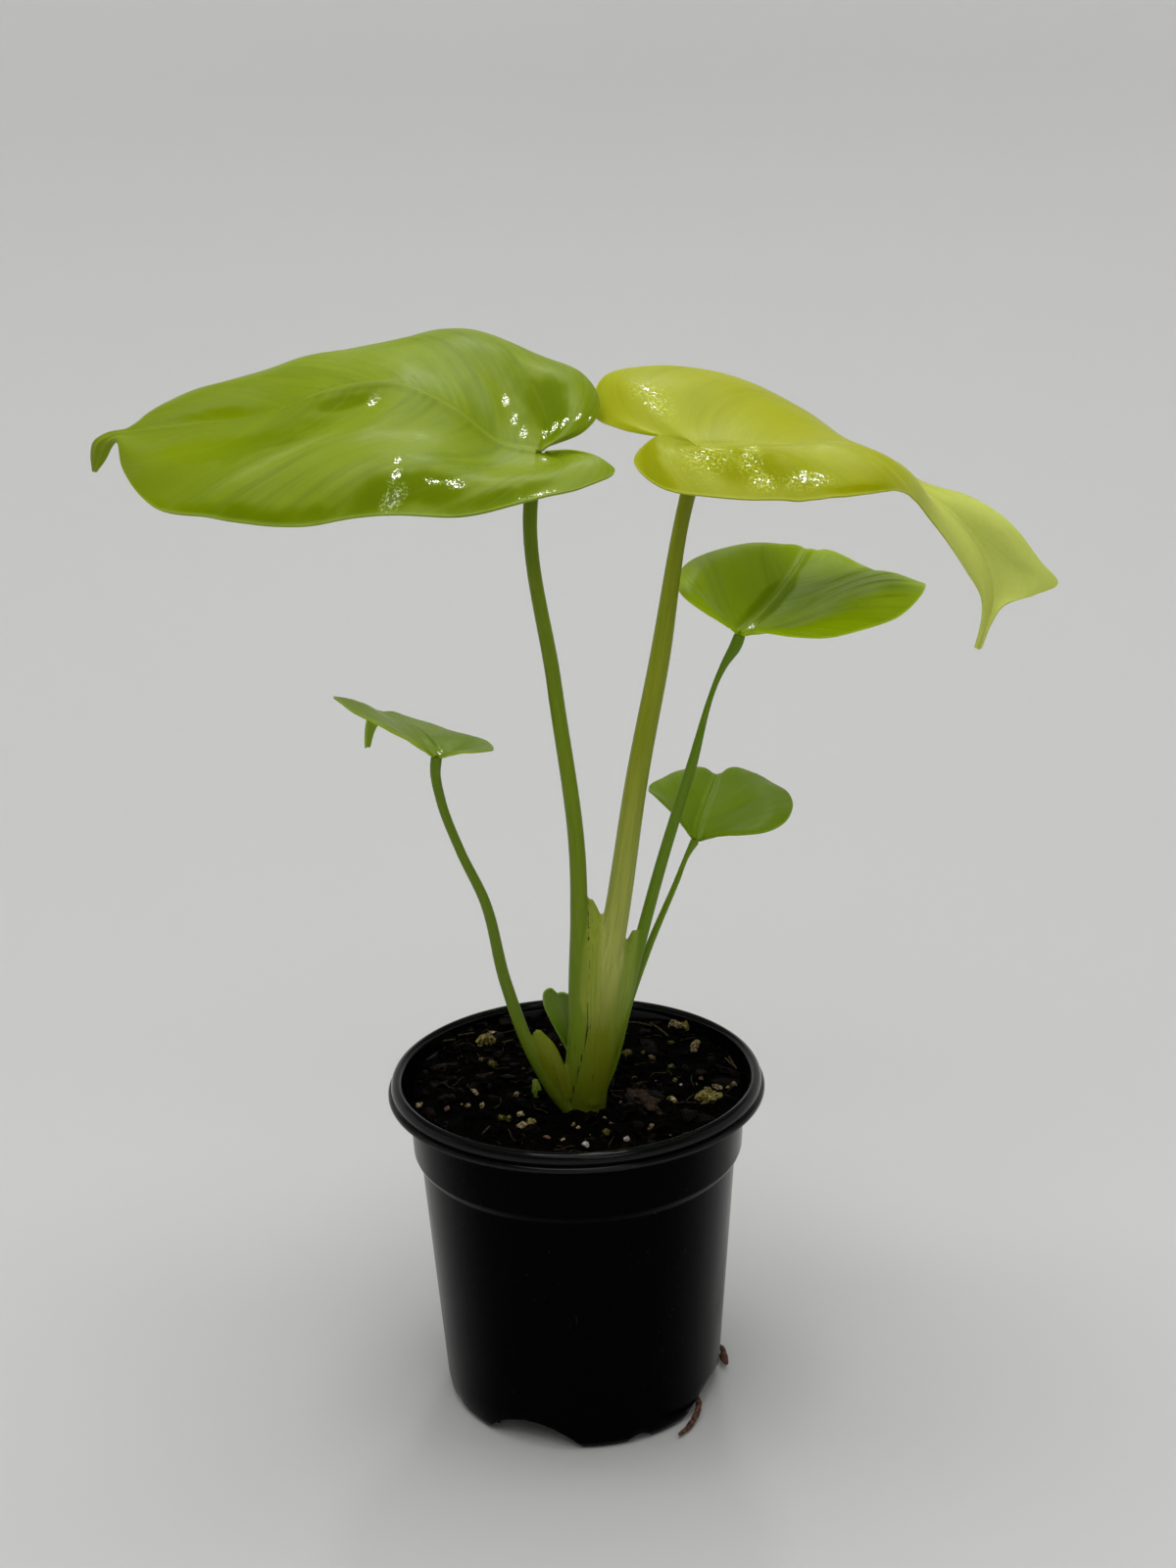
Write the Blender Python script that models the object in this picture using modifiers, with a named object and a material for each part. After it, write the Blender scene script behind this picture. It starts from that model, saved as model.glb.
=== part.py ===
"""Potted monstera in a black nursery pot: the solid pieces, for Blender 4.5.

Metres, +Z up. The origin is on the floor under the centre of the pot, and the viewer stands at -Y.
Sizes below are in millimetres, and turn into metres where a mesh or an object is made.
"""

import math
import random

import bmesh
import bpy
import numpy as np
from mathutils import Matrix, Vector

MM = 0.001
FIT_GAP = 0.3
MERGE_DISTANCE = 0.00002

# Pot
POT_STEPS = 72
FOOT_RADIUS = 38.2
FOOT_INSIDE = 35.6
FLOOR_UNDERSIDE = 3.4
FLOOR_TOP = 4.6
NOTCH_COUNT = 4
# Arches cut into the bottom edge: first angle, width and height
DRAIN_ARCH = (-113.0, 30.0, 8.5)
SMALL_ARCH = (-67.0, 8.4, 3.0)
CUTTER_LENGTH = 10.0
INNER_WALL = [(39.1, FLOOR_TOP), (44.2, 75.0), (46.0, 78.0), (47.0, 92.0), (48.9, 94.9), (49.8, 97.6)]
RIM_PROFILE = [
    (50.2, 99.2), (51.3, 100.0), (52.4, 99.6), (53.1, 98.6), (53.2, 97.2), (52.9, 96.6),
    (53.8, 96.4), (54.2, 95.9), (54.2, 95.2), (53.7, 94.8), (49.0, 94.0),
]
OUTER_WALL = [(48.6, 93.2), (48.2, 90.0), (47.6, 78.2), (47.1, 76.9), (46.0, 76.3), (45.6, 75.3), (40.7, 5.6)]
FOOT_EDGE = [(40.1, 2.2), (39.3, 0.7)]

# Potting mix
SOIL_STEPS = 48
SOIL_LEVEL = 94.0
SOIL_RISE_TO_BACK = 0.05
SOIL_EDGE_RISE = 0.4
SOIL_EDGE_WIDTH = 3.0
SOIL_WALL_GAP = 0.5
SOIL_BOTTOM_RADIUS = 35.0
SOIL_CHAMFER_TOP = 11.0
SOIL_RINGS = 12
SOIL_BUMP = 0.5
SOIL_SEED = 11
SMALL_LUMPS = 36
SMALL_LUMP_REACH = 43.5
SMALL_LUMP_SIZE = (1.6, 3.4)
SMALL_LUMP_STRETCH = 1.6
SMALL_LUMP_FLATNESS = 0.8
LUMP_TILT = 0.3
LUMP_LIFT = 0.1
PLANT_MARGIN = 3.0
LEVEL_TOLERANCE = 0.1
# Lumps that stand out, as x, y, length, width, height of each
LARGE_LUMPS = [
    (37, -12, 6.0, 4.8, 4.0), (-28, 32, 5.5, 4.2, 3.8), (29, 35, 4.6, 3.2, 3.0), (36, 25, 3.8, 2.8, 2.6),
    (20, -11, 10.5, 5.0, 3.2), (-14, -24, 3.6, 3.0, 2.8), (-25, 16, 3.4, 2.4, 2.2), (-38, 14, 6.5, 3.0, 2.2),
    (-31, -12, 8.5, 3.8, 2.4), (40, -3, 3.8, 2.6, 2.4), (8, -31, 3.2, 2.6, 2.4), (-20, -19, 3.2, 2.6, 2.4),
    (15, 21, 3.0, 2.4, 2.4), (29, 12, 3.0, 2.4, 2.2), (-43, -10, 3.0, 2.4, 2.4), (-30, -2, 3.0, 2.4, 2.2),
]

# Plant base, as x, y, z, radius along each piece, with the share of its depth that is kept
PLANT_CENTRE = (1.0, -12.0)
PLANT_HALF_SIZE = (8.0, 5.0)
CROWN_DEPTH = 0.55
CROWN = [
    (1, -12, 84, 5.2), (0.8, -12, 92, 7.4), (1.3, -12, 100, 7.6), (4, -11, 112, 7.6), (6.2, -10.5, 128, 8.2),
    (7.2, -10, 138, 7.5), (7.5, -10, 146, 5.5), (7.2, -10, 151, 2),
]
SHEATHS = {
    "between_tall_stalks": ([(5, -11, 126, 4), (6, -10, 144, 3), (6, -10, 151, 2), (5, -10, 156, 1)], 0.6),
    "behind_mid_stalk": ([(10, -10, 108, 3), (14, -10, 128, 3), (16, -9, 140, 2), (17, -9, 146, 1)], 0.6),
    "low_left_wing": ([(-1, -12, 97, 3), (-3, -12, 108, 3), (-7, -12, 115, 3), (-11, -12, 118, 1)], 0.5),
}

# Leaf stalks, as x, y, z, radius upwards from the base, and the height where the loose part begins
STALKS = {
    "tall_left": ([(1, -11.5, 95, 2.6), (1, -10.5, 104, 2.7), (1, -10, 127, 2.65), (2, -10, 152, 2.5),
                   (2, -10, 167, 2.35), (-3, -6, 216, 2.1), (-8, -2, 264, 2.0)], 164),
    "tall_right": ([(4, -11.5, 95, 3.4), (5, -10.5, 104, 3.6), (8, -10, 127, 3.9), (13, -10, 155, 3.5),
                    (19, -7, 191, 3.1), (25, -5, 220, 2.85), (34, -1, 267, 2.15)], 164),
    "mid_right": ([(5.5, -11, 95, 2.0), (9, -9.5, 102, 2.2), (15, -9, 126, 2.0), (19, -8, 143, 1.8),
                   (25, -8, 165, 1.65), (33, -8, 191, 1.5), (43, -6, 221, 1.15), (46, -6, 226, 1.7)], 158),
    "low_right": ([(6.5, -11, 95, 1.8), (11, -8.5, 101, 1.8), (16.5, -6, 125, 1.3), (22, -4, 140.5, 1.1),
                   (29.5, -1, 157, 0.9), (33, 0.5, 165, 0.9)], 150),
    "low_left": ([(-3, -12, 94.5, 2.4), (-5, -12, 98, 2.4), (-10, -12, 108, 2.0), (-19, -12, 133, 1.75),
                  (-24, -11, 157, 1.5), (-30, -10, 171, 1.35), (-35, -8, 186, 1.4), (-36, -7, 193, 1.5)], 126),
}

# Leaf blades: rib and margins from stalk to tip, bulge and rib trough of each half as shares of its width
BLADE_THICKNESS = 0.7
WAVES = 5
RIB_STEP = 0.03
BLADES = {
    "tall_left": dict(
        rib=[(-6, 0, 278), (-15, 1, 280), (-27, 4, 289), (-44, 8, 296), (-60, 11, 294), (-76, 14, 288),
             (-98, 18, 285), (-115, 21, 283), (-121, 22, 282), (-125, 23, 280), (-128, 24, 273)],
        left=[(-2, -3, 278), (7, -9, 278), (14, -17, 275), (6, -26, 273), (-8, -33, 271), (-23, -38, 270),
              (-43, -40, 271), (-66, -38, 268), (-86, -31, 268), (-105, -15, 270), (-116, 6, 276),
              (-120, 18, 281), (-123, 22, 279), (-127, 23, 273)],
        right=[(-3, 3, 279), (6.5, 10, 281.5), (11.3, 21, 287), (7.5, 32, 293), (-4.5, 40, 298.5),
               (-18.5, 46, 304), (-33, 49, 305), (-52, 50, 300), (-74, 47, 297), (-94, 40, 293), (-112, 31, 287),
               (-118, 25, 283), (-124, 24, 281), (-128, 25, 273)],
        lobe=0.24, lift=(0.04, 0.08), dip=(0.05, 0.03), wave=0.012, rows=(9, 17), columns=6),
    "tall_right": dict(
        rib=[(37, 0, 278), (49, -1, 278), (62, -2, 278), (75, -4, 279), (85, -7, 274), (93, -10, 267),
             (102, -13, 260), (110, -16, 249), (112, -18, 240), (110, -20, 232), (108.2, -20.5, 226.6)],
        left=[(31, 4, 280), (16.5, 17, 281), (9.5, 29, 284), (13, 39, 292), (26.5, 44, 294), (40.5, 46, 293),
              (55.5, 44, 288.5), (68.5, 39, 281.5), (81, 30, 273.5), (90, 18, 269), (98, 3, 265), (106, -8, 265),
              (117, -16, 258), (124, -20, 249), (128, -22, 244), (122, -22, 241), (114, -21, 238),
              (111, -21, 233), (109, -21, 227)],
        right=[(31, -4, 280), (22, -13, 281), (19, -22, 278), (25, -31, 273), (37, -38, 272), (53, -41, 271),
               (65, -40, 271), (77, -35, 271), (88, -27, 269), (95, -22, 261), (104, -20, 248),
               (108.5, -20, 240), (108.5, -20, 232), (107.4, -20, 227)],
        lobe=0.2, lift=(0.03, 0.16), dip=(0.02, 0.03), wave=0.008, rows=(8, 20), columns=6),
    "mid_right": dict(
        rib=[(47, -6, 229), (57, 12, 233), (66, 32, 238), (71, 43, 240), (74, 50, 237), (75, 53, 231)],
        left=[(44, -8, 231), (38, -8, 235), (32, -3, 239), (31, 8, 241), (35, 20, 243), (46, 34, 244),
              (58, 43, 244), (68, 48, 241), (73, 51, 236), (74, 53, 231)],
        right=[(50, -12, 231), (59, -19, 231), (69, -21, 231), (78, -18, 232), (90, -9, 234), (98, 5, 237),
               (99, 18, 236), (93, 28, 235), (84, 38, 237), (77, 46, 238), (76, 51, 234), (76, 53, 231)],
        lobe=0.3, lift=(0.1, 0.08), dip=(0.05, 0.04), wave=0.01, rows=(8, 12), columns=5),
    "low_right": dict(
        rib=[(35, 1, 168.5), (37.5, 11, 172.5), (41, 23, 176), (43.5, 33, 177), (44.5, 38, 172)],
        left=[(33, -1, 171), (28, -2, 178.5), (24, 2, 181.5), (22.5, 9, 181.5), (26.5, 18, 181),
              (32.5, 27, 180.5), (39, 34, 179), (43.5, 38, 172)],
        right=[(38, -3, 170.5), (45.5, -9, 173), (53, -9, 173.5), (59, -4, 174.5), (62.5, 5, 175.5),
               (62.5, 15, 176.5), (59, 24, 177), (54, 31, 178), (48.5, 36, 178), (45.5, 38, 172)],
        lobe=0.28, lift=(0.08, 0.08), dip=(0.04, 0.04), wave=0.02, rows=(7, 9), columns=4),
    "low_left": dict(
        rib=[(-35.5, -6, 197), (-38, 0, 199.5), (-42, 8, 201), (-47, 17, 201), (-52, 26, 200.5),
             (-55, 31, 199.5), (-57, 33, 195), (-58, 34, 188.5)],
        left=[(-37, -9, 198), (-39, -12, 201), (-41, -13, 203), (-48, -10, 206), (-55.5, -4, 208.5),
              (-60.5, 2, 209.5), (-64, 8, 210.5), (-62.5, 16, 207.5), (-59, 24, 204), (-57, 30, 200.5),
              (-58, 32, 194), (-58.7, 34, 188)],
        right=[(-34, -9, 197.5), (-29.5, -13, 200), (-24.5, -11, 199.5), (-20.5, -5, 198), (-20.5, 2, 197),
               (-23, 9, 196.5), (-27, 16, 195), (-33, 22, 195), (-44, 30, 197), (-50, 32, 198.5),
               (-54.5, 33.5, 195), (-57.3, 34.5, 188)],
        lobe=0.28, lift=(0.02, 0.04), dip=(0.03, 0.03), wave=0.015, rows=(7, 10), columns=4),
}

# Young growth at the base
SPROUT_LEAF = dict(
    rib=[(1, -6.5, 96), (-1.5, -4, 109.5), (-3.5, -3, 117), (-7.5, -2, 125)],
    left=[(-0.5, -6.5, 96), (-6, -4, 114.5), (-8.5, -3, 119.5), (-9, -2, 124), (-8, -2, 126)],
    right=[(2.5, -6.5, 96), (1, -4, 111.5), (0, -3, 118), (-2.5, -2, 123.5), (-6.5, -2, 126)],
    lobe=0.04, lift=(-0.12, -0.12), dip=(0, 0), wave=0, rows=(1, 9), columns=3)
SPROUT_TIP = [(-12, -2, 90.5, 1.2), (-11.5, -2, 95, 1.4), (-12, -1, 97.5, 0.7)]

# Roots that leave the drains, as x, y, z, radius
ROOTS = {
    "front": [(31.6, -20.4, 5.0, 0.8), (33.0, -23.6, 3.8, 1.0), (31.9, -27.8, 2.2, 1.0),
              (30.0, -31.8, 1.7, 0.9), (26.7, -36.0, 1.4, 0.6)],
    "side": [(36.2, 15.2, 1.4, 0.7), (39.2, 12.8, 1.4, 0.7), (41.5, 7.6, 2.2, 0.8), (42.1, 2.0, 4.2, 1.0),
             (42.3, 0.2, 2.8, 1.3), (43.1, -1.0, 1.4, 0.6)],
}

# Base colour and roughness of each material
FINISHES = {
    "pot": ((0.012, 0.014, 0.016), 0.35), "soil": ((0.02, 0.014, 0.01), 0.9),
    "leaf_green": ((0.2, 0.34, 0.02), 0.25), "leaf_yellow": ((0.45, 0.5, 0.06), 0.25),
    "leaf_dark": ((0.1, 0.24, 0.02), 0.25), "leaf_pale": ((0.17, 0.3, 0.07), 0.25),
    "stalk_green": ((0.1, 0.18, 0.01), 0.35), "stalk_yellow": ((0.27, 0.3, 0.03), 0.35),
    "root": ((0.12, 0.05, 0.02), 0.7),
}
BLADE_COLOURS = {
    "tall_left": "leaf_green", "tall_right": "leaf_yellow", "mid_right": "leaf_dark",
    "low_right": "leaf_dark", "low_left": "leaf_pale",
}
SPLINE_STEPS = 12
CROWN_SPACING = 5.0
CROWN_RESOLUTION = 4
STUB_POINTS = 12
STALK_POINTS = 48
# How far the end of each stalk stops short of the plane through its blade's root
SEAT_GAPS = {"tall_left": 0.4, "tall_right": -0.26, "mid_right": -0.05, "low_right": 0.2, "low_left": 0.03}


def clear_scene():
    for obj in list(bpy.data.objects):
        bpy.data.objects.remove(obj)


def new_collection(name):
    collection = bpy.data.collections.new(name)
    bpy.context.scene.collection.children.link(collection)
    return collection


def colour_material(name):
    found = bpy.data.materials.get(name)
    if found:
        return found
    colour, roughness = FINISHES[name]
    material = bpy.data.materials.new(name)
    material.use_nodes = True
    surface = material.node_tree.nodes["Principled BSDF"]
    surface.inputs["Base Color"].default_value = (*colour, 1.0)
    surface.inputs["Roughness"].default_value = roughness
    surface.inputs["Metallic"].default_value = 0.0
    return material


def mesh_object(name, vertices, faces, collection):
    """An object from vertices in millimetres."""
    mesh = bpy.data.meshes.new(name)
    mesh.from_pydata([Vector(v) * MM for v in vertices], [], faces)
    mesh.update()
    obj = bpy.data.objects.new(name, mesh)
    collection.objects.link(obj)
    return obj


def smooth_curve(points):
    """A smooth curve through points, as a fine polyline and its length up to each point."""
    knots = np.array(points, float)
    spans = np.linalg.norm(np.diff(knots[:, :3], axis=0), axis=1)[:, None]
    slopes = np.diff(knots, axis=0) / spans
    middle = (slopes[:-1] * spans[1:] + slopes[1:] * spans[:-1]) / (spans[:-1] + spans[1:])
    tangents = np.vstack([slopes[:1], middle, slopes[-1:]])
    fine = []
    for i, span in enumerate(spans):
        for t in np.arange(SPLINE_STEPS) / SPLINE_STEPS:
            start = (1 + 2 * t) * (1 - t) ** 2 * knots[i] + t * (1 - t) ** 2 * span * tangents[i]
            end = t * t * (3 - 2 * t) * knots[i + 1] + t * t * (t - 1) * span * tangents[i + 1]
            fine.append(start + end)
    fine = np.array(fine + [knots[-1]])
    lengths = np.linalg.norm(np.diff(fine[:, :3], axis=0), axis=1)
    return fine, np.concatenate([[0.0], np.cumsum(lengths)])


def read_curve(curve, shares):
    """Points of a smooth curve at these shares of its length."""
    fine, lengths = curve
    where = np.asarray(shares, float) * lengths[-1]
    return np.stack([np.interp(where, lengths, column) for column in fine.T], axis=-1)


def tube(name, points, collection, spacing=4.0, resolution=3):
    """A round rod along x, y, z, radius points, as a curve object with filled caps."""
    curve = smooth_curve(points)
    count = max(4, int(curve[1][-1] / spacing) + 1)
    data = bpy.data.curves.new(name, "CURVE")
    data.dimensions = "3D"
    data.bevel_depth = MM
    data.bevel_resolution = resolution
    data.use_fill_caps = True
    spline = data.splines.new("POLY")
    spline.points.add(count - 1)
    for point, (x, y, z, radius) in zip(spline.points, read_curve(curve, np.linspace(0, 1, count))):
        point.co = (x * MM, y * MM, z * MM, 1.0)
        point.radius = radius
    obj = bpy.data.objects.new(name, data)
    collection.objects.link(obj)
    return obj


def tube_mesh(name, points, collection, spacing=4.0, resolution=3):
    """The same rod as a closed mesh, for Booleans."""
    curve_obj = tube(name + "_curve", points, collection, spacing, resolution)
    bpy.context.view_layer.update()
    evaluated = curve_obj.evaluated_get(bpy.context.evaluated_depsgraph_get())
    mesh = bpy.data.meshes.new_from_object(evaluated)
    weld(mesh)
    obj = bpy.data.objects.new(name, mesh)
    obj.matrix_world = curve_obj.matrix_world
    collection.objects.link(obj)
    bpy.data.objects.remove(curve_obj)
    return obj


def weld(mesh):
    form = bmesh.new()
    form.from_mesh(mesh)
    bmesh.ops.remove_doubles(form, verts=form.verts, dist=MERGE_DISTANCE)
    bmesh.ops.recalc_face_normals(form, faces=form.faces)
    form.to_mesh(mesh)
    form.free()


def flatten_depth(obj, share):
    """Squeezes a mesh towards its middle depth."""
    depths = [vertex.co.y for vertex in obj.data.vertices]
    middle = (min(depths) + max(depths)) / 2
    for vertex in obj.data.vertices:
        vertex.co.y = middle + (vertex.co.y - middle) * share


def boolean(obj, operation, collection, solver="EXACT"):
    """Joins or cuts with every object of a collection, at once, and applies it."""
    modifier = obj.modifiers.new(operation.title(), "BOOLEAN")
    modifier.operation = operation
    modifier.operand_type = "COLLECTION"
    modifier.collection = collection
    modifier.solver = solver
    bpy.context.view_layer.update()
    evaluated = obj.evaluated_get(bpy.context.evaluated_depsgraph_get())
    mesh = bpy.data.meshes.new_from_object(evaluated)
    obj.modifiers.remove(modifier)
    obj.data = mesh


def keep_largest_body(obj):
    """Drops the loose scraps that a cut leaves beside the main body."""
    form = bmesh.new()
    form.from_mesh(obj.data)
    unseen = set(form.verts)
    bodies = []
    while unseen:
        body, edge = set(), [unseen.pop()]
        while edge:
            vertex = edge.pop()
            body.add(vertex)
            linked = [other.other_vert(vertex) for other in vertex.link_edges]
            edge += [vert for vert in linked if vert in unseen]
            unseen.difference_update(linked)
        bodies.append(body)
    largest = max(bodies, key=len)
    scraps = [vertex for vertex in form.verts if vertex not in largest]
    bmesh.ops.delete(form, geom=scraps, context="VERTS")
    form.to_mesh(obj.data)
    form.free()


def drop_collection(collection):
    for obj in list(collection.objects):
        bpy.data.objects.remove(obj)
    bpy.data.collections.remove(collection)


def turned(name, profile, steps, collection):
    """A solid turned about Z from radius, height points that start and end on the axis."""
    points = [(radius, 0.0, height) for radius, height in profile]
    edges = [(i, i + 1) for i in range(len(points) - 1)]
    mesh = bpy.data.meshes.new(name)
    mesh.from_pydata([Vector(p) * MM for p in points], edges, [])
    obj = bpy.data.objects.new(name, mesh)
    collection.objects.link(obj)
    screw = obj.modifiers.new("Turn", "SCREW")
    screw.steps = steps
    screw.render_steps = steps
    screw.use_merge_vertices = True
    screw.merge_threshold = MERGE_DISTANCE
    screw.use_normal_calculate = True
    return obj


def apply_modifiers(obj):
    bpy.context.view_layer.update()
    evaluated = obj.evaluated_get(bpy.context.evaluated_depsgraph_get())
    mesh = bpy.data.meshes.new_from_object(evaluated)
    obj.modifiers.clear()
    obj.data = mesh


def arch(name, width, height, angle, collection):
    """A rod that lies across the bottom edge of the pot and cuts an arch of this width and height."""
    radius = (width ** 2 / 4 + height ** 2) / (2 * height)
    bpy.ops.mesh.primitive_cylinder_add(vertices=32, radius=radius * MM, depth=CUTTER_LENGTH * MM)
    obj = bpy.context.object
    obj.name = name
    for linked in list(obj.users_collection):
        linked.objects.unlink(obj)
    collection.objects.link(obj)
    place = Matrix.Translation(Vector((FOOT_RADIUS, 0.0, height - radius)) * MM)
    swing = Matrix.Rotation(math.radians(angle), 4, "Z")
    obj.matrix_world = swing @ place @ Matrix.Rotation(math.pi / 2, 4, "Y")
    return obj


def make_pot(parts, cutters):
    """A thin turned pot with a rolled rim and a collar, on eight feet with drains between them."""
    foot = [(FOOT_RADIUS, 0.0), (FOOT_INSIDE, 0.0), (FOOT_INSIDE, FLOOR_UNDERSIDE), (0.0, FLOOR_UNDERSIDE)]
    profile = [(0.0, FLOOR_TOP)] + INNER_WALL + RIM_PROFILE + OUTER_WALL + FOOT_EDGE + foot
    pot = turned("pot", profile, POT_STEPS, parts)
    for index in range(NOTCH_COUNT):
        for first, width, height in (DRAIN_ARCH, SMALL_ARCH):
            arch("arch_cutter", width, height, first + index * 360.0 / NOTCH_COUNT, cutters)
    modifier = pot.modifiers.new("Drains", "BOOLEAN")
    modifier.operation = "DIFFERENCE"
    modifier.operand_type = "COLLECTION"
    modifier.collection = cutters
    modifier.solver = "EXACT"
    pot.data.materials.append(colour_material("pot"))
    return pot


def soil_height(x, y):
    """Height of the potting mix, bumpy and a little higher at the back."""
    bumps = math.sin(0.43 * x + 0.9) * math.cos(0.37 * y - 0.4) + 0.6 * math.sin(0.21 * x - 0.33 * y + 2.0)
    return SOIL_LEVEL + SOIL_RISE_TO_BACK * y + SOIL_BUMP * bumps


def lump(x, y, length, width, height, angle, tilt, collection):
    """One grain, sunk well into the mix."""
    bpy.ops.mesh.primitive_ico_sphere_add(subdivisions=1, radius=0.5)
    obj = bpy.context.object
    for linked in list(obj.users_collection):
        linked.objects.unlink(obj)
    collection.objects.link(obj)
    place = Matrix.Translation(Vector((x, y, soil_height(x, y) + height * LUMP_LIFT)) * MM)
    turn = Matrix.Rotation(angle, 4, "Z") @ Matrix.Rotation(tilt, 4, "X")
    obj.matrix_world = place @ turn @ Matrix.Diagonal((length * MM, width * MM, height * MM, 1.0))
    return obj


def clear_of_plant(x, y, margin):
    across = (x - PLANT_CENTRE[0]) / (PLANT_HALF_SIZE[0] + margin)
    along = (y - PLANT_CENTRE[1]) / (PLANT_HALF_SIZE[1] + margin)
    return across ** 2 + along ** 2 > 1.0


def wall_radius(height):
    """Inside radius of the pot at a height."""
    return float(np.interp(height, [z for _, z in INNER_WALL], [radius for radius, _ in INNER_WALL]))


def grown_by(points, extra):
    """The points of a rod made thicker, and longer at its lower end, for the hole that it stands in."""
    x, y, z, _ = points[0]
    grown = [(*place, radius + extra) for *place, radius in points]
    return [(x, y, z - FIT_GAP, grown[0][3])] + grown[1:]


def make_soil(parts):
    """Potting mix that fills the pot, with plain holes for the plant and coarse grains fused in."""
    rim_radius = wall_radius(SOIL_LEVEL) - SOIL_WALL_GAP
    wall = [(radius - FIT_GAP, height) for radius, height in INNER_WALL[1:3]]
    knee = (INNER_WALL[3][0] - SOIL_WALL_GAP, INNER_WALL[3][1])
    bottom = FLOOR_TOP + FIT_GAP
    top = [(rim_radius * i / SOIL_RINGS, SOIL_LEVEL) for i in range(SOIL_RINGS + 1)]
    chamfer = [(wall_radius(SOIL_CHAMFER_TOP) - FIT_GAP, SOIL_CHAMFER_TOP), (SOIL_BOTTOM_RADIUS, bottom)]
    soil = turned("potting_mix", top + [knee] + wall[::-1] + chamfer + [(0.0, bottom)], SOIL_STEPS, parts)
    apply_modifiers(soil)
    for vertex in soil.data.vertices:
        x, y, z = vertex.co / MM
        radius = math.hypot(x, y)
        inside = min(1.0, max(0.0, (rim_radius - radius) / SOIL_EDGE_WIDTH))
        if z > SOIL_LEVEL - LEVEL_TOLERANCE:
            share = SOIL_EDGE_RISE + (1 - SOIL_EDGE_RISE) * inside
            z = SOIL_LEVEL + (soil_height(x, y) - SOIL_LEVEL) * share
            vertex.co.z = z * MM
            if radius > rim_radius - LEVEL_TOLERANCE:
                fit = (wall_radius(z) - SOIL_WALL_GAP) / radius
                vertex.co.x *= fit
                vertex.co.y *= fit
    weld(soil.data)

    lumps = new_collection("Lumps")
    draw = random.Random(SOIL_SEED)
    for x, y, length, width, height in LARGE_LUMPS:
        angle, tilt = draw.uniform(0, math.pi), draw.uniform(-LUMP_TILT, LUMP_TILT)
        lump(x, y, length, width, height, angle, tilt, lumps)
    placed = 0
    while placed < SMALL_LUMPS:
        radius, angle = SMALL_LUMP_REACH * math.sqrt(draw.random()), draw.uniform(0, math.tau)
        x, y = radius * math.cos(angle), radius * math.sin(angle)
        if clear_of_plant(x, y, PLANT_MARGIN):
            width = draw.uniform(*SMALL_LUMP_SIZE)
            length = width * draw.uniform(1.0, SMALL_LUMP_STRETCH)
            height = width * SMALL_LUMP_FLATNESS
            lump(x, y, length, width, height, draw.uniform(0, math.pi), LUMP_TILT, lumps)
            placed += 1
    boolean(soil, "UNION", lumps)
    drop_collection(lumps)

    holes = new_collection("Holes")
    crown = grown_by(CROWN, FIT_GAP / CROWN_DEPTH)
    flatten_depth(tube_mesh("crown_hole", crown, holes, CROWN_SPACING, CROWN_RESOLUTION), CROWN_DEPTH)
    tube_mesh("sprout_hole", grown_by(SPROUT_TIP, FIT_GAP), holes)
    boolean(soil, "DIFFERENCE", holes)
    keep_largest_body(soil)
    drop_collection(holes)
    soil.data.materials.clear()
    soil.data.materials.append(colour_material("soil"))
    return soil


def blade_rows(blade):
    """Each row's share of the margins, and the share of the rib where it starts."""
    lobe_rows, tip_rows = blade["rows"]
    lobe = blade["lobe"]
    in_lobe, after = np.linspace(0, lobe, lobe_rows + 1), np.linspace(lobe, 1, tip_rows + 1)
    margin_rows = np.concatenate([in_lobe, after[1:]])
    lengths = [smooth_curve(blade[side])[1][-1] for side in ("left", "right", "rib")]
    power = (1 - lobe) * (lengths[0] + lengths[1]) / 2 / lengths[2]
    rib_rows = np.clip((margin_rows - lobe) / (1 - lobe), 0, 1) ** max(1.0, power)
    return margin_rows, rib_rows


def blade_normals(blade, margin_rows, rib_rows):
    """The upward direction of a blade at each row."""
    rib = smooth_curve(blade["rib"])
    ahead, behind = np.minimum(rib_rows + RIB_STEP, 1), np.maximum(rib_rows - RIB_STEP, 0)
    along = read_curve(rib, ahead) - read_curve(rib, behind)
    rows = np.maximum(margin_rows, blade["lobe"])
    left, right = smooth_curve(blade["left"]), smooth_curve(blade["right"])
    across = read_curve(right, rows) - read_curve(left, rows)
    normals = np.cross(across, along)
    return normals / np.linalg.norm(normals, axis=1)[:, None]


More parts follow.
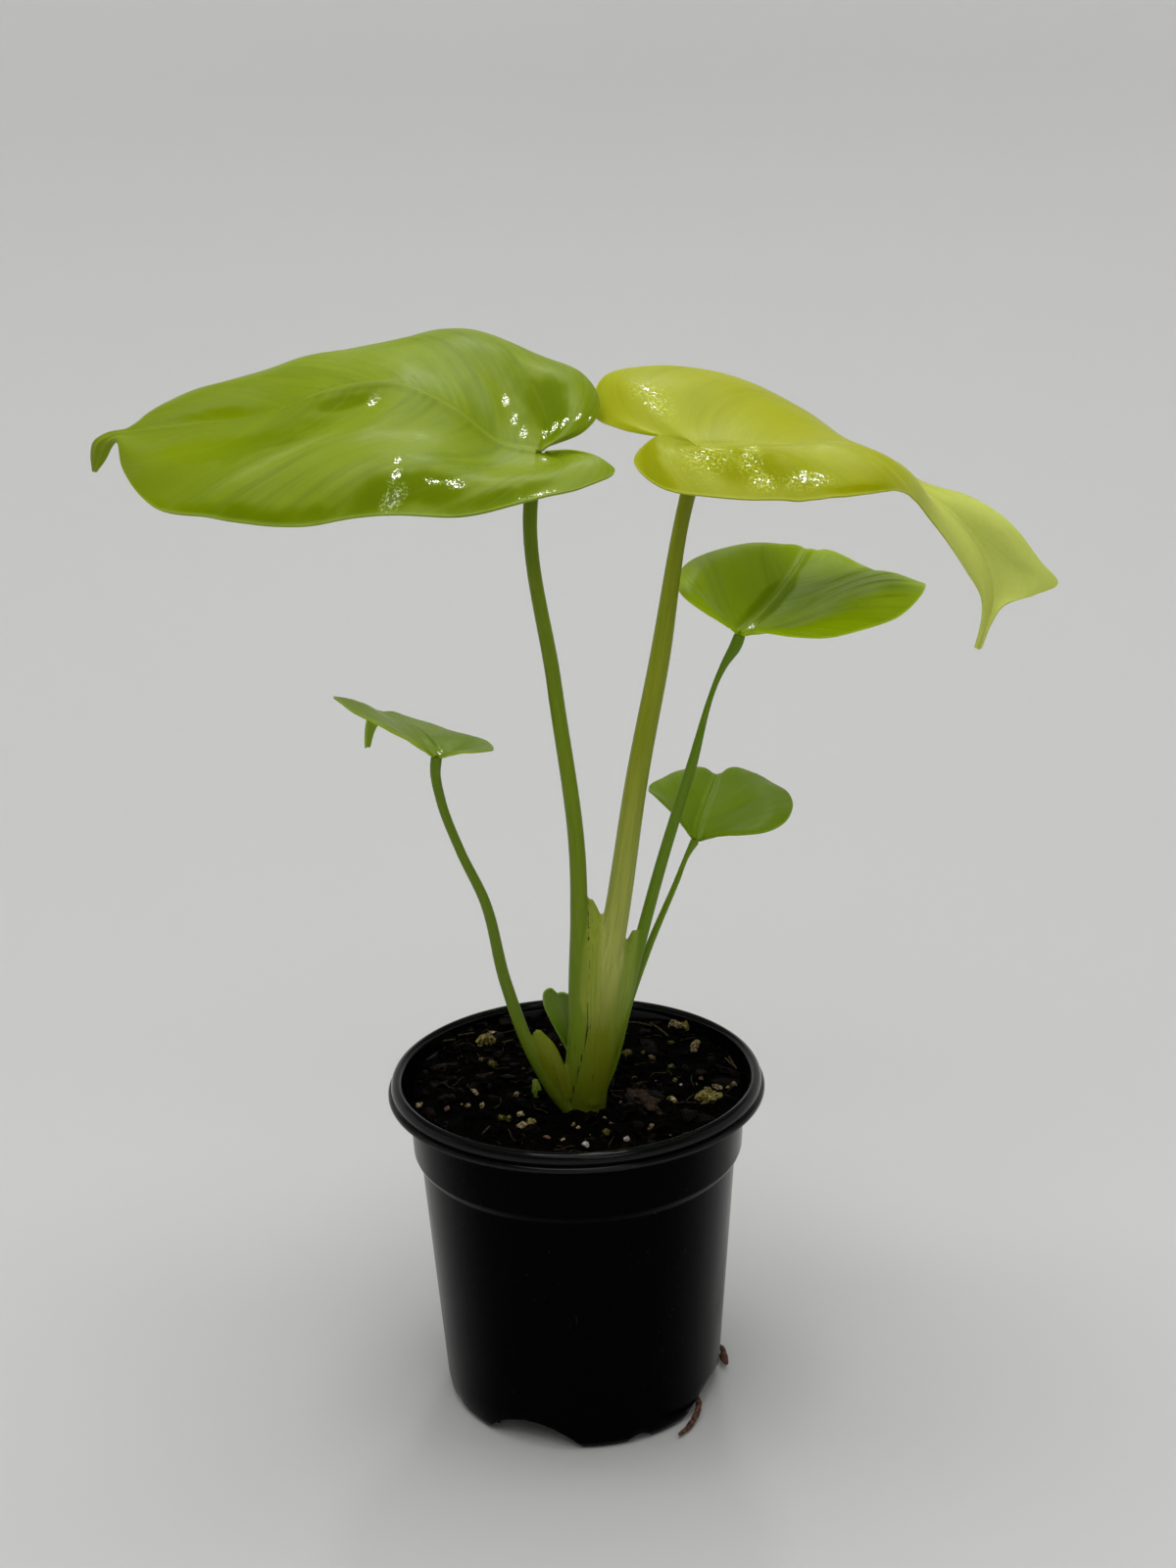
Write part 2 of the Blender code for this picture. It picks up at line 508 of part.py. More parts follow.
def blade_sheet(name, blade, collection):
    """The middle surface of a blade, in rows that fan from the stalk in the lobes and then leave the rib."""
    margin_rows, rib_rows = blade_rows(blade)
    normals = blade_normals(blade, margin_rows, rib_rows)
    starts = read_curve(smooth_curve(blade["rib"]), rib_rows)
    columns = blade["columns"]
    lobe_rows = blade["rows"][0]
    vertices = [tuple(point) for point in starts[lobe_rows:]]
    faces = []
    for side, turn in ((0, 1), (1, -1)):
        margin = read_curve(smooth_curve(blade[("left", "right")[side]]), margin_rows)
        first = len(vertices)
        for row, (start, end, normal) in enumerate(zip(starts, margin, normals)):
            width = np.linalg.norm(end - start)
            for t in np.arange(1, columns + 1) / columns:
                bulge = blade["lift"][side] * math.sin(math.pi * t)
                bulge -= blade["dip"][side] * math.sin(math.tau * t)
                ripple = blade["wave"] * math.sin(math.tau * WAVES * margin_rows[row] + side) * t * t
                vertices.append(tuple(start + t * (end - start) + width * (bulge + ripple) * normal))

        def vertex(row, column):
            if column == 0:
                return max(0, row - lobe_rows)
            return first + row * columns + column - 1

        for row in range(len(margin_rows) - 1):
            for column in range(columns):
                corners = [vertex(row, column), vertex(row + 1, column),
                           vertex(row + 1, column + 1), vertex(row, column + 1)][::turn]
                split = [(corners[0], corners[1], corners[2]), (corners[0], corners[2], corners[3])]
                faces += [face for face in split if len(set(face)) == 3]
    return mesh_object(name, vertices, faces, collection)


def make_blade(name, blade, material, parts):
    """A leaf blade of even thickness."""
    obj = blade_sheet(name, blade, parts)
    solidify = obj.modifiers.new("Thickness", "SOLIDIFY")
    solidify.thickness = BLADE_THICKNESS * MM
    solidify.offset = 0.0
    obj.data.materials.append(material)
    return obj


def stalk_points(name):
    """The whole route of a stalk, from the plant base to its seat under the blade."""
    points, _ = STALKS[name]
    blade = BLADES[name]
    normal = blade_normals(blade, *blade_rows(blade))[0]
    attachment = np.array(blade["rib"][0], float)
    radius = points[-1][3]
    heading = attachment - points[-1][:3]
    lean = np.linalg.norm(np.cross(heading / np.linalg.norm(heading), normal))
    seat = attachment - normal * (BLADE_THICKNESS / 2 + SEAT_GAPS[name] + radius * lean)
    return points + [(*seat, radius)]


def cut_stalk(name):
    """The route below and above the height where the stalk leaves the plant base."""
    height = STALKS[name][1]
    curve = smooth_curve(stalk_points(name))
    fine = curve[0]
    share = np.interp(height, fine[:, 2], curve[1]) / curve[1][-1]
    gap = FIT_GAP / curve[1][-1]
    lower = read_curve(curve, np.linspace(0, share, STUB_POINTS))
    upper = read_curve(curve, np.linspace(share + gap, 1, STALK_POINTS))
    return [tuple(p) for p in lower], [tuple(p) for p in upper]


def make_crown(parts):
    """The base where all stalks meet in their sheaths, fused as it grew."""
    joined = new_collection("Joined")
    for name in STALKS:
        tube_mesh("stub", cut_stalk(name)[0], joined, CROWN_SPACING, CROWN_RESOLUTION)
    for name, (points, depth) in SHEATHS.items():
        flatten_depth(tube_mesh(name, points, joined, CROWN_SPACING, CROWN_RESOLUTION), depth)
    crown = tube_mesh("plant_base", CROWN, parts, CROWN_SPACING, CROWN_RESOLUTION)
    flatten_depth(crown, CROWN_DEPTH)
    boolean(crown, "UNION", joined)
    drop_collection(joined)
    crown.data.materials.clear()
    crown.data.materials.append(colour_material("stalk_green"))
    return crown


def make_plant(parts):
    for name, blade in BLADES.items():
        make_blade("blade_" + name, blade, colour_material(BLADE_COLOURS[name]), parts)
        stalk = tube("stalk_" + name, cut_stalk(name)[1], parts)
        stalk_colour = "stalk_yellow" if name == "tall_right" else "stalk_green"
        stalk.data.materials.append(colour_material(stalk_colour))
    make_crown(parts)
    make_blade("sprout_leaf", SPROUT_LEAF, colour_material("leaf_dark"), parts)
    tip = tube("sprout_tip", SPROUT_TIP, parts, 2.0, 2)
    tip.data.materials.append(colour_material("stalk_green"))


def make_roots(parts):
    for name, points in ROOTS.items():
        root = tube("root_" + name, points, parts, 2.0, 2)
        root.data.materials.append(colour_material("root"))


def main():
    clear_scene()
    parts = new_collection("Potted monstera")
    cutters = new_collection("Cutters")
    cutters.hide_render = True
    make_pot(parts, cutters)
    for cutter in cutters.objects:
        cutter.display_type = "WIRE"
    make_soil(parts)
    make_plant(parts)
    make_roots(parts)


main()
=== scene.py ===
"""Finished look of the potted monstera: glossy leaves, streaked stalks, gritty potting mix and satin pot.

The shapes are in millimetres and turn into metres where meshes are made. Settings, finishes, lamps and the
camera are in metres.
"""

import math
import random

import bmesh
import bpy
import numpy as np
from bpy.props import FloatProperty, FloatVectorProperty, IntProperty, PointerProperty
from mathutils import Matrix, Vector, noise


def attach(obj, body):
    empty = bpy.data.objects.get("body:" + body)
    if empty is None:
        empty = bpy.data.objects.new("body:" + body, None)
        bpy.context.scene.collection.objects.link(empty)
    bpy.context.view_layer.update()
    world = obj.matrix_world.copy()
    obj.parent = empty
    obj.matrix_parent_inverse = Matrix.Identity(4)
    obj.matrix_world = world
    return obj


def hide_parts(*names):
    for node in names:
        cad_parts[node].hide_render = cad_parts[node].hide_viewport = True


bl_info = {
    "name": "Potted monstera",
    "version": (1, 0, 0),
    "blender": (4, 5, 0),
    "location": "3D View > Sidebar > Monstera",
    "description": "Builds the finished pieces of a potted monstera around its packed solids",
    "category": "Add Mesh",
}

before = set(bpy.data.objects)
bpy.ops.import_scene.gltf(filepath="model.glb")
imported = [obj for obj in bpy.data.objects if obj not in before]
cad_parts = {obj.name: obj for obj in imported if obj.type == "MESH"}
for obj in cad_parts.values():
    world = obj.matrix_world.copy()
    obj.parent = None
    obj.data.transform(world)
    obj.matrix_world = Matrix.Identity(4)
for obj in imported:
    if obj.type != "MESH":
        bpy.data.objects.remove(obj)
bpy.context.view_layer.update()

MM = 0.001
BODY = "root"
MERGE_DISTANCE = 0.00002
SPLINE_STEPS = 24
END_BULGE = 0.3
POINTS_AT_ONCE = 8000
# Angles in degrees above which an edge stays creased
POT_CREASE, GRAIN_CREASE, BLADE_CREASE, ROD_CREASE, NO_CREASE = 30.0, 50.0, 55.0, 60.0, 180.0

# Pot: outlines as radius, height points, and drains as angle, width, height
INNER_WALL = [(39.1, 4.6), (44.2, 75.0), (46.0, 78.0), (47.0, 92.0), (48.9, 94.9), (49.8, 97.6)]
BEAD = [(49.8, 97.6), (50.2, 99.2), (51.3, 99.95), (52.4, 99.6), (53.1, 98.6), (53.2, 97.2), (52.9, 96.6)]
RING = [(53.8, 96.4), (54.15, 95.9), (54.15, 95.2), (53.7, 94.8), (49.0, 94.0)]
OUTER_WALL = [(48.6, 93.2), (48.2, 90.0), (47.6, 78.2), (47.1, 76.9), (46.0, 76.3), (45.6, 75.3), (40.98, 9.6),
              (40.7, 5.6)]
FOOT = [(40.1, 2.2), (39.3, 0.7), (38.2, 0.0), (35.6, 0.0), (35.6, 3.4), (0.0, 3.4)]
FOOT_RADIUS = 38.2
DRAIN_ARCH = (-113.0, 30.0, 8.5)
SMALL_ARCH = (-67.0, 8.4, 3.0)
NOTCH_COUNT = 4
CUTTER_LENGTH = 10.0
CUTTER_SIDES = 96
BEAD_POINTS = 16
BEVEL_ANGLE = 14.0
BEVEL_SEGMENTS = 2
RIM_HEIGHT, RIM_FADE, RIM_GLOSS = 93.5, 1.5, 0.4
DUST_COLOUR = (0.05, 0.052, 0.05)
FRONT_SHEEN = 0.15
# Noise scales for each metre, and how the two that run up the wall are stretched
POT_FLOW, POT_GRAIN, POT_DUST, POT_SCUFFS = 60.0, 1400.0, 900.0, 520.0
FLOW_STRETCH, SCUFF_STRETCH = (1.0, 1.0, 0.25), (1.0, 1.0, 0.12)

# Potting mix
SOIL_LEVEL = 94.0
SOIL_RISE_TO_BACK = 0.05
SOIL_EDGE = 47.0
SOIL_WALL_GAP = 0.5
SOIL_BOTTOM = 4.9
SOIL_BOTTOM_RADIUS = 35.0
SOIL_FOOT_HEIGHT = 11.0
LUMP_HEIGHT, LUMP_SIZE = 1.3, 5.0
CRUMBLE_HEIGHT, CRUMBLE_SIZE = 0.5, 1.6
# Share of the roughness left at the edge of the bed, how far in it is full, and how far the bed lies below the mix
EDGE_ROUGHNESS, EDGE_EASE, BED_DROP = 0.35, 4.0, 0.4
PLANT_CENTRE = (1.0, -12.0)
PLANT_HALF_SIZE = (9.0, 5.0)
GRAIN_WALL_GAP = 0.35
GRAIN_SINK = 0.22
GRAIN_TILT, GRAIN_ROLL = 0.35, 0.3
GRAIN_LENGTHS, SMALL_BIAS = (1.0, 2.2), 2.5
# Strength and rate of the two swellings of a broken form
FORM_SWELLS = ((0.6, 2.6), (0.5, 7.0))
FORM_SHIFT = 50
# Mesh level and count of the small, fine and middle broken forms
FORMS = ((1, 24), (3, 10), (2, 14))
# Smallest and largest size of strewn grains, their flatness, and how deep they sink, as shares
CRUMB_SIZES = (0.7, 2.6, 0.8, 0.3)
CHIP_SIZES = (1.6, 5.0, 0.35, 0.35)
SPECK_SIZES = (0.35, 0.9, 0.8, 0.2)
STREWN_RADIUS = 46.6
TWIG_LIFT, TWIG_RADIUS = 1.1, 0.28
FIBRE_START, FIBRE_LIMIT = 44.0, 45.0
FIBRE_POINTS, FIBRE_STEP, FIBRE_RADIUS = 4, 1.9, 0.12
FIBRE_BEND, FIBRE_HEIGHTS = 0.7, (0.2, 1.1)
# Sides and row spacing of the meshes of thin rods
TWIG_MESH, FIBRE_MESH, TIP_MESH, ROOT_MESH = (8, 1.0), (5, 1.2), (20, 0.4), (16, 0.35)
# Noise scales for each metre
GRAIN_MOTTLE, GRAIN_PITS, PEAT_LUMPS, PEAT_CRUMBLE, ROOT_CRACKS = 1100.0, 1500.0, 160.0, 900.0, 700.0

# Grains that stand out, as x, y, length, width, height, turn, and the finish of each
MARKED_GRAINS = [
    (37.2, -10.5, 6.6, 5.2, 4.2, 0.5, "pumice"), (-27.6, 30.5, 5.6, 3.0, 3.4, 1.0, "pumice"),
    (-25.2, 30.2, 3.0, 1.8, 3.0, 1.9, "pumice"), (30.5, 35.4, 4.4, 2.8, 3.0, 0.2, "tan"),
    (34.0, 36.2, 3.0, 2.6, 2.6, 0.9, "pumice"), (36.0, 23.0, 3.8, 2.2, 2.4, 0.8, "tan"),
    (35.2, 20.6, 2.0, 1.6, 1.6, 0.1, "cream"), (19.4, -10.6, 12.5, 5.4, 3.2, -0.9, "bark"),
    (17.4, -6.6, 5.0, 2.0, 2.0, -0.8, "bark"), (-15.4, -22.0, 3.2, 2.4, 2.6, 0.6, "cream"),
    (-13.0, -20.6, 2.6, 2.4, 2.8, 1.5, "pumice"), (-16.1, -15.0, 2.2, 1.6, 1.4, -0.3, "cream"),
    (-24.6, 15.4, 3.2, 2.2, 2.2, -0.6, "olive"), (-28.0, 17.6, 1.8, 1.2, 1.2, 0.4, "tan"),
    (-40.6, 13.2, 5.8, 2.4, 2.0, -0.3, "brown"), (-29.6, -2.0, 2.6, 1.6, 1.8, -0.8, "cream"),
    (-17.2, -3.8, 3.2, 1.5, 1.8, 1.3, "tan"), (-21.4, -16.4, 2.2, 1.8, 1.8, 0.2, "olive"),
    (-19.2, -16.6, 2.0, 1.7, 1.8, 1.2, "olive"), (-27.1, -8.2, 1.4, 1.2, 1.5, 0.3, "cream"),
    (-31.2, -8.8, 1.7, 1.3, 1.5, 0.3, "tan"), (-37.0, -10.4, 1.7, 1.3, 1.1, 0.3, "pink"),
    (-1.2, -22.0, 1.6, 1.0, 1.3, 1.1, "cream"), (0.2, -22.8, 1.1, 0.9, 1.0, 0.4, "cream"),
    (-8.6, -28.2, 2.2, 0.9, 1.1, 0.0, "pink"), (-4.2, -29.3, 1.7, 1.0, 1.1, 0.6, "cream"),
    (2.1, -34.4, 1.9, 1.6, 1.7, 0.3, "white"), (15.0, 18.7, 3.1, 2.4, 2.4, 0.2, "olive"),
    (22.6, 17.0, 2.6, 1.3, 1.4, -0.6, "tan"), (20.0, 20.0, 1.4, 1.2, 1.3, 0.6, "olive"),
    (28.0, 10.7, 2.3, 1.9, 1.7, 0.7, "olive"), (16.8, 4.2, 2.0, 1.5, 1.4, 0.0, "olive"),
    (28.4, 0.6, 1.8, 1.5, 1.7, 1.4, "olive"), (30.1, -1.2, 0.8, 0.7, 0.9, 0.0, "white"),
    (34.5, -0.3, 0.8, 0.7, 0.8, 0.0, "white"), (36.1, 3.1, 1.6, 1.1, 1.2, 0.5, "pink"),
    (40.4, -1.8, 3.4, 1.3, 1.7, -0.5, "cream"), (37.6, -2.6, 2.3, 1.0, 1.2, 0.2, "tan"),
    (45.4, -1.6, 1.8, 1.4, 1.5, 0.8, "tan"), (43.6, -2.6, 1.3, 1.0, 1.1, 0.8, "tan"),
    (27.5, -9.3, 2.6, 1.4, 1.9, -0.9, "cream"), (26.4, -8.2, 1.6, 1.3, 1.3, 0.3, "olive"),
    (20.4, -25.2, 2.9, 1.2, 1.8, 1.1, "tan"), (7.9, -27.2, 2.6, 2.0, 2.0, -0.6, "olive"),
    (13.3, -31.2, 1.8, 1.5, 1.5, 0.4, "white"), (7.6, -18.6, 2.0, 1.0, 1.4, 1.0, "tan"),
    (9.4, -21.8, 1.3, 0.9, 1.0, 0.2, "tan"), (28.9, 27.2, 2.8, 0.8, 1.0, 0.0, "olive"),
    (-25.3, 35.4, 2.8, 1.0, 1.2, 0.2, "cream"), (-22.9, 34.0, 3.2, 2.2, 2.2, 0.8, "slate"),
    (-45.0, -8.6, 1.8, 1.4, 1.5, 0.4, "cream"), (-44.2, 11.5, 1.6, 1.2, 1.2, 0.2, "slate"),
    (-38.0, 5.0, 1.8, 1.4, 1.4, 0.9, "slate"), (-41.5, 2.5, 2.2, 1.6, 1.6, 0.1, "slate"),
    (-35.5, 7.5, 1.4, 1.1, 1.2, 0.5, "slate"), (-36.0, -5.0, 2.6, 2.0, 1.8, 0.5, "slate"),
]
# Twigs and fibres on the mix, as x, y pairs from end to end
TWIGS = [
    [(-43.0, 28.0), (-40.0, 29.6), (-36.2, 30.4)], [(-35.5, 33.5), (-30.6, 34.2)], [(-22.0, 26.4), (-18.6, 28.0)],
    [(14.5, 39.4), (19.0, 38.4), (23.5, 36.0)], [(23.0, 38.0), (25.5, 34.0), (28.0, 29.5)],
    [(44.0, 13.5), (46.2, 9.0)], [(45.2, 14.0), (46.8, 7.5)], [(-26.5, -25.5), (-24.5, -22.0)],
]
# Light and dark colour of each finish; the dark one is also painted shade in the hollows of the grains
GRAIN_COLOURS = {
    "pumice": ((0.34, 0.28, 0.08), (0.035, 0.026, 0.006)), "tan": ((0.34, 0.26, 0.12), (0.04, 0.026, 0.01)),
    "cream": ((0.52, 0.42, 0.22), (0.07, 0.045, 0.02)), "olive": ((0.15, 0.14, 0.02), (0.025, 0.022, 0.004)),
    "bark": ((0.05, 0.027, 0.014), (0.004, 0.002, 0.0015)), "brown": ((0.03, 0.016, 0.009), (0.004, 0.0025, 0.0015)),
    "pink": ((0.28, 0.15, 0.10), (0.05, 0.025, 0.018)), "white": ((0.70, 0.66, 0.58), (0.25, 0.22, 0.18)),
    "slate": ((0.012, 0.012, 0.010), (0.002, 0.002, 0.002)),
}
CRUMB_COLOURS = ((0.003, 0.002, 0.0012), (0.0004, 0.0003, 0.0003))
CHIP_COLOURS = ((0.006, 0.0032, 0.0018), (0.0006, 0.0004, 0.0003))
FIBRE_COLOURS = ((0.07, 0.05, 0.022), (0.02, 0.012, 0.006))
PEAT_PALE, PEAT_BROWN = (0.003, 0.002, 0.0012), (0.005, 0.0028, 0.0015)

# Plant base and stalks, as x, y, z, radius along each
CROWN_DEPTH = 0.55
CROWN = [
    (2, -12, 84, 4.8), (2.2, -12, 92, 5.8), (2.6, -12, 100, 6.4), (4.6, -11, 112, 7.0), (6.6, -10.5, 128, 7.8),
    (7.2, -10, 138, 7.5), (7.5, -10, 146, 5.5), (7.2, -10, 151, 2),
]
# Sheaths, each with its depth as a share of its width
SHEATHS = [
    ([(5, -11, 126, 4), (6, -10, 144, 3), (6, -10, 151, 2), (5, -10, 156, 1)], 0.6),
    ([(7, -10, 104, 2.6), (13.4, -10, 128, 3), (15.8, -9, 140, 2.1), (17.4, -9, 146, 0.9)], 0.6),
    ([(-3.6, -12.5, 97, 2.8), (-6, -13, 106, 3.1), (-8.6, -13, 113, 2.9), (-10.8, -13, 118, 1.3)], 0.5),
]
STALKS = {
    "tall_left": [(1, -11.5, 95, 2.6), (1, -10.5, 104, 2.7), (1, -10, 127, 2.65), (2, -10, 152, 2.5),
                  (2, -10, 167, 2.35), (-3, -6, 216, 2.1), (-8, -2, 264, 2.0)],
    "tall_right": [(4, -11.5, 95, 3.4), (5, -10.5, 104, 3.6), (8, -10, 127, 3.9), (13, -10, 155, 3.5),
                   (19, -7, 191, 3.1), (25, -5, 220, 2.85), (34, -1, 267, 2.15)],
    "mid_right": [(4.5, -11, 95, 2.0), (7, -9.5, 102, 2.2), (14.4, -9, 126, 2.0), (19, -8, 143, 1.8),
                  (25, -8, 165, 1.65), (33, -8, 191, 1.5), (43, -6, 221, 1.15), (46, -6, 226, 1.7)],
    "low_right": [(5, -11, 95, 1.8), (8.4, -8.5, 101, 1.8), (16, -6, 125, 1.3), (22, -4, 140.5, 1.1),
                  (29.5, -1, 157, 0.9), (33, 0.5, 165, 0.9)],
    "low_left": [(-0.5, -12, 91, 2.2), (-5.4, -12, 98, 2.3), (-10.8, -12, 108, 2.0), (-19, -12, 133, 1.75),
                 (-24, -11, 157, 1.5), (-30, -10, 171, 1.35), (-35, -8, 186, 1.4), (-36, -7, 193, 1.5)],
}
# How far each stalk's middle stops below its blade, and how much it widens there
STALK_DROPS = {"tall_left": 1.4, "tall_right": 1.3, "mid_right": 0.4, "low_right": 0.2, "low_left": 0.3}
STALK_FLARES = {"tall_left": 1.1, "tall_right": 1.15, "mid_right": 0.95, "low_right": 1.5, "low_left": 1.1}
STEM_VOXEL = 0.42
# Colour of each stalk low down and high up
STEM_COLOURS = {
    "tall_left": ((0.16, 0.25, 0.002), (0.17, 0.25, 0.002)), "tall_right": ((0.54, 0.56, 0.15), (0.27, 0.31, 0.008)),
    "mid_right": ((0.14, 0.24, 0.002), (0.12, 0.22, 0.001)), "low_right": ((0.17, 0.27, 0.003), (0.17, 0.28, 0.004)),
    "low_left": ((0.12, 0.19, 0.002), (0.13, 0.21, 0.005)),
}
BASE_COLOUR = (0.20, 0.235, 0.002)
# Height below which each stalk takes the colour of the base
STEM_FADES = {"tall_left": 114.0, "tall_right": 139.0, "mid_right": 108.0, "low_right": 108.0, "low_left": 104.0}
# The dark seam beside the left stalk, as x, height
DARK_SEAM = [(-1.9, 95.7), (-1.2, 99.3), (2.4, 113.0), (3.4, 119.0), (3.9, 129.0), (4.4, 142.5), (4.6, 161.5)]
SEAM_WIDTH = 0.35
SEAM_DEPTH, SEAM_BOTTOM, SEAM_TOP = -11.0, 96.0, 160.0
SHEATH_COLOURS = [(0.30, 0.36, 0.03), (0.24, 0.33, 0.03), (0.17, 0.215, 0.002)]
SHEATH_FADE = 128.0
SHEATH_EASE = 20.0
# Height where the fade to the upper colour starts and how far it takes, and how softly neighbours blend
RISE_START, RISE_LENGTH = 110.0, 90.0
BASE_FADE_LENGTH = 22.0
BLEND_WIDTH = 0.3
# Painted shade: the base darkens towards the mix. Height where it is darkest, how far that reaches, and the share of
# light there
SHADE_START, SHADE_LENGTH, SHADE_SHARE = 93.0, 26.0, 0.45
AXIS_SAMPLES, SHORT_AXIS_SAMPLES = 160, 80
CROWN_SIDES, SHEATH_SIDES, STALK_SIDES = 40, 28, 24
# Noise scales of stripes, fine lines and flecks for each millimetre, how far the stripes are drawn out along a
# stalk, and the step between the patterns of two stalks
STEM_STRIPES, STEM_LINES, STEM_FLECKS = 1.3, 4.5, (1.9, 1.9, 3.2)
STRIPE_RATE, STALK_STEP = 0.03, 7.0
STEM_DARK, STEM_PALE, FLECK_COLOUR = (0.10, 0.17, 0.0), (0.62, 0.6, 0.2), (0.018, 0.014, 0.004)
FLECK_TOP = 130.0

# Leaf blades: rib and margins from stalk to tip, bulge (lift) and trough (dip) of each half and the wave of the
# margin as shares of its width, the lobes' share of the margins (lobe), and mesh rows in the lobes and beyond.
# Folds are hollows or swellings: half, share along, share across, their two lengths as shares, and height.
# Crinkles are small wet, wrinkled patches: half, share along, share across, their two lengths, wetness, and the
# height of their wrinkles, whose wetness also places painted glints. Painted shade and sheen zones are patches of
# darker colour and less sheen (painted shade), or of paler colour (painted sheen) where the amount is below zero,
# placed as folds are.
WAVES = 5
WRINKLE = 1.7
# How far veins bend towards the tip, the share of the margin that they span, and the step between the halves
VEIN_LEAN, VEIN_BEND, VEIN_SPAN, VEIN_STEP = 0.2, 1.4, 0.8, 0.3
# Height and width of the rib above and below, and height, place and width of the groove beside it
RIB_RIDGE = (0.5, 0.8)
RIB_BELOW = (0.9, 1.1)
RIB_GROOVE = (0.35, 2.0, 0.9)
RIB_TAPER = 0.85
# Widths of the pale lines on veins and rib, and how far from the rib veins, broad waves and wrinkles are full
VEIN_LINE, RIB_LINE = 0.05, 0.5
VEIN_EASE, BROAD_EASE, WRINKLE_EASE = 6.0, 8.0, 2.0
BROAD_SIZE, BLOTCH_SIZE, BLOTCH_STRENGTH = 20.0, 9.0, 0.35
# Noise scales of the skin: along and across the veins for each millimetre, then for each metre
STREAKS = (0.30, 0.035, 1.0)
PATCHES = (0.035, 0.022, 1.0)
FINE_LINES = (1.6, 0.4, 1.0)
SPECKLES, PAINTED_GLINTS, DROPS, RIPPLES = 700.0, 1300.0, 900.0, 850.0
# Colour of the painted glints where the skin is wettest
PAINTED_GLINT_WHITE = (0.85, 0.9, 0.55)
# How strongly veins, speckles and the edge show in the colour, and how much paler the underside is
VEIN_SHARE, SPECKLE_SHARE, EDGE_SHARE, UNDER_PALENESS = 0.3, 0.12, 0.5, 0.35
SKIN_GLOW = (0.8, 1.0, 0.25)
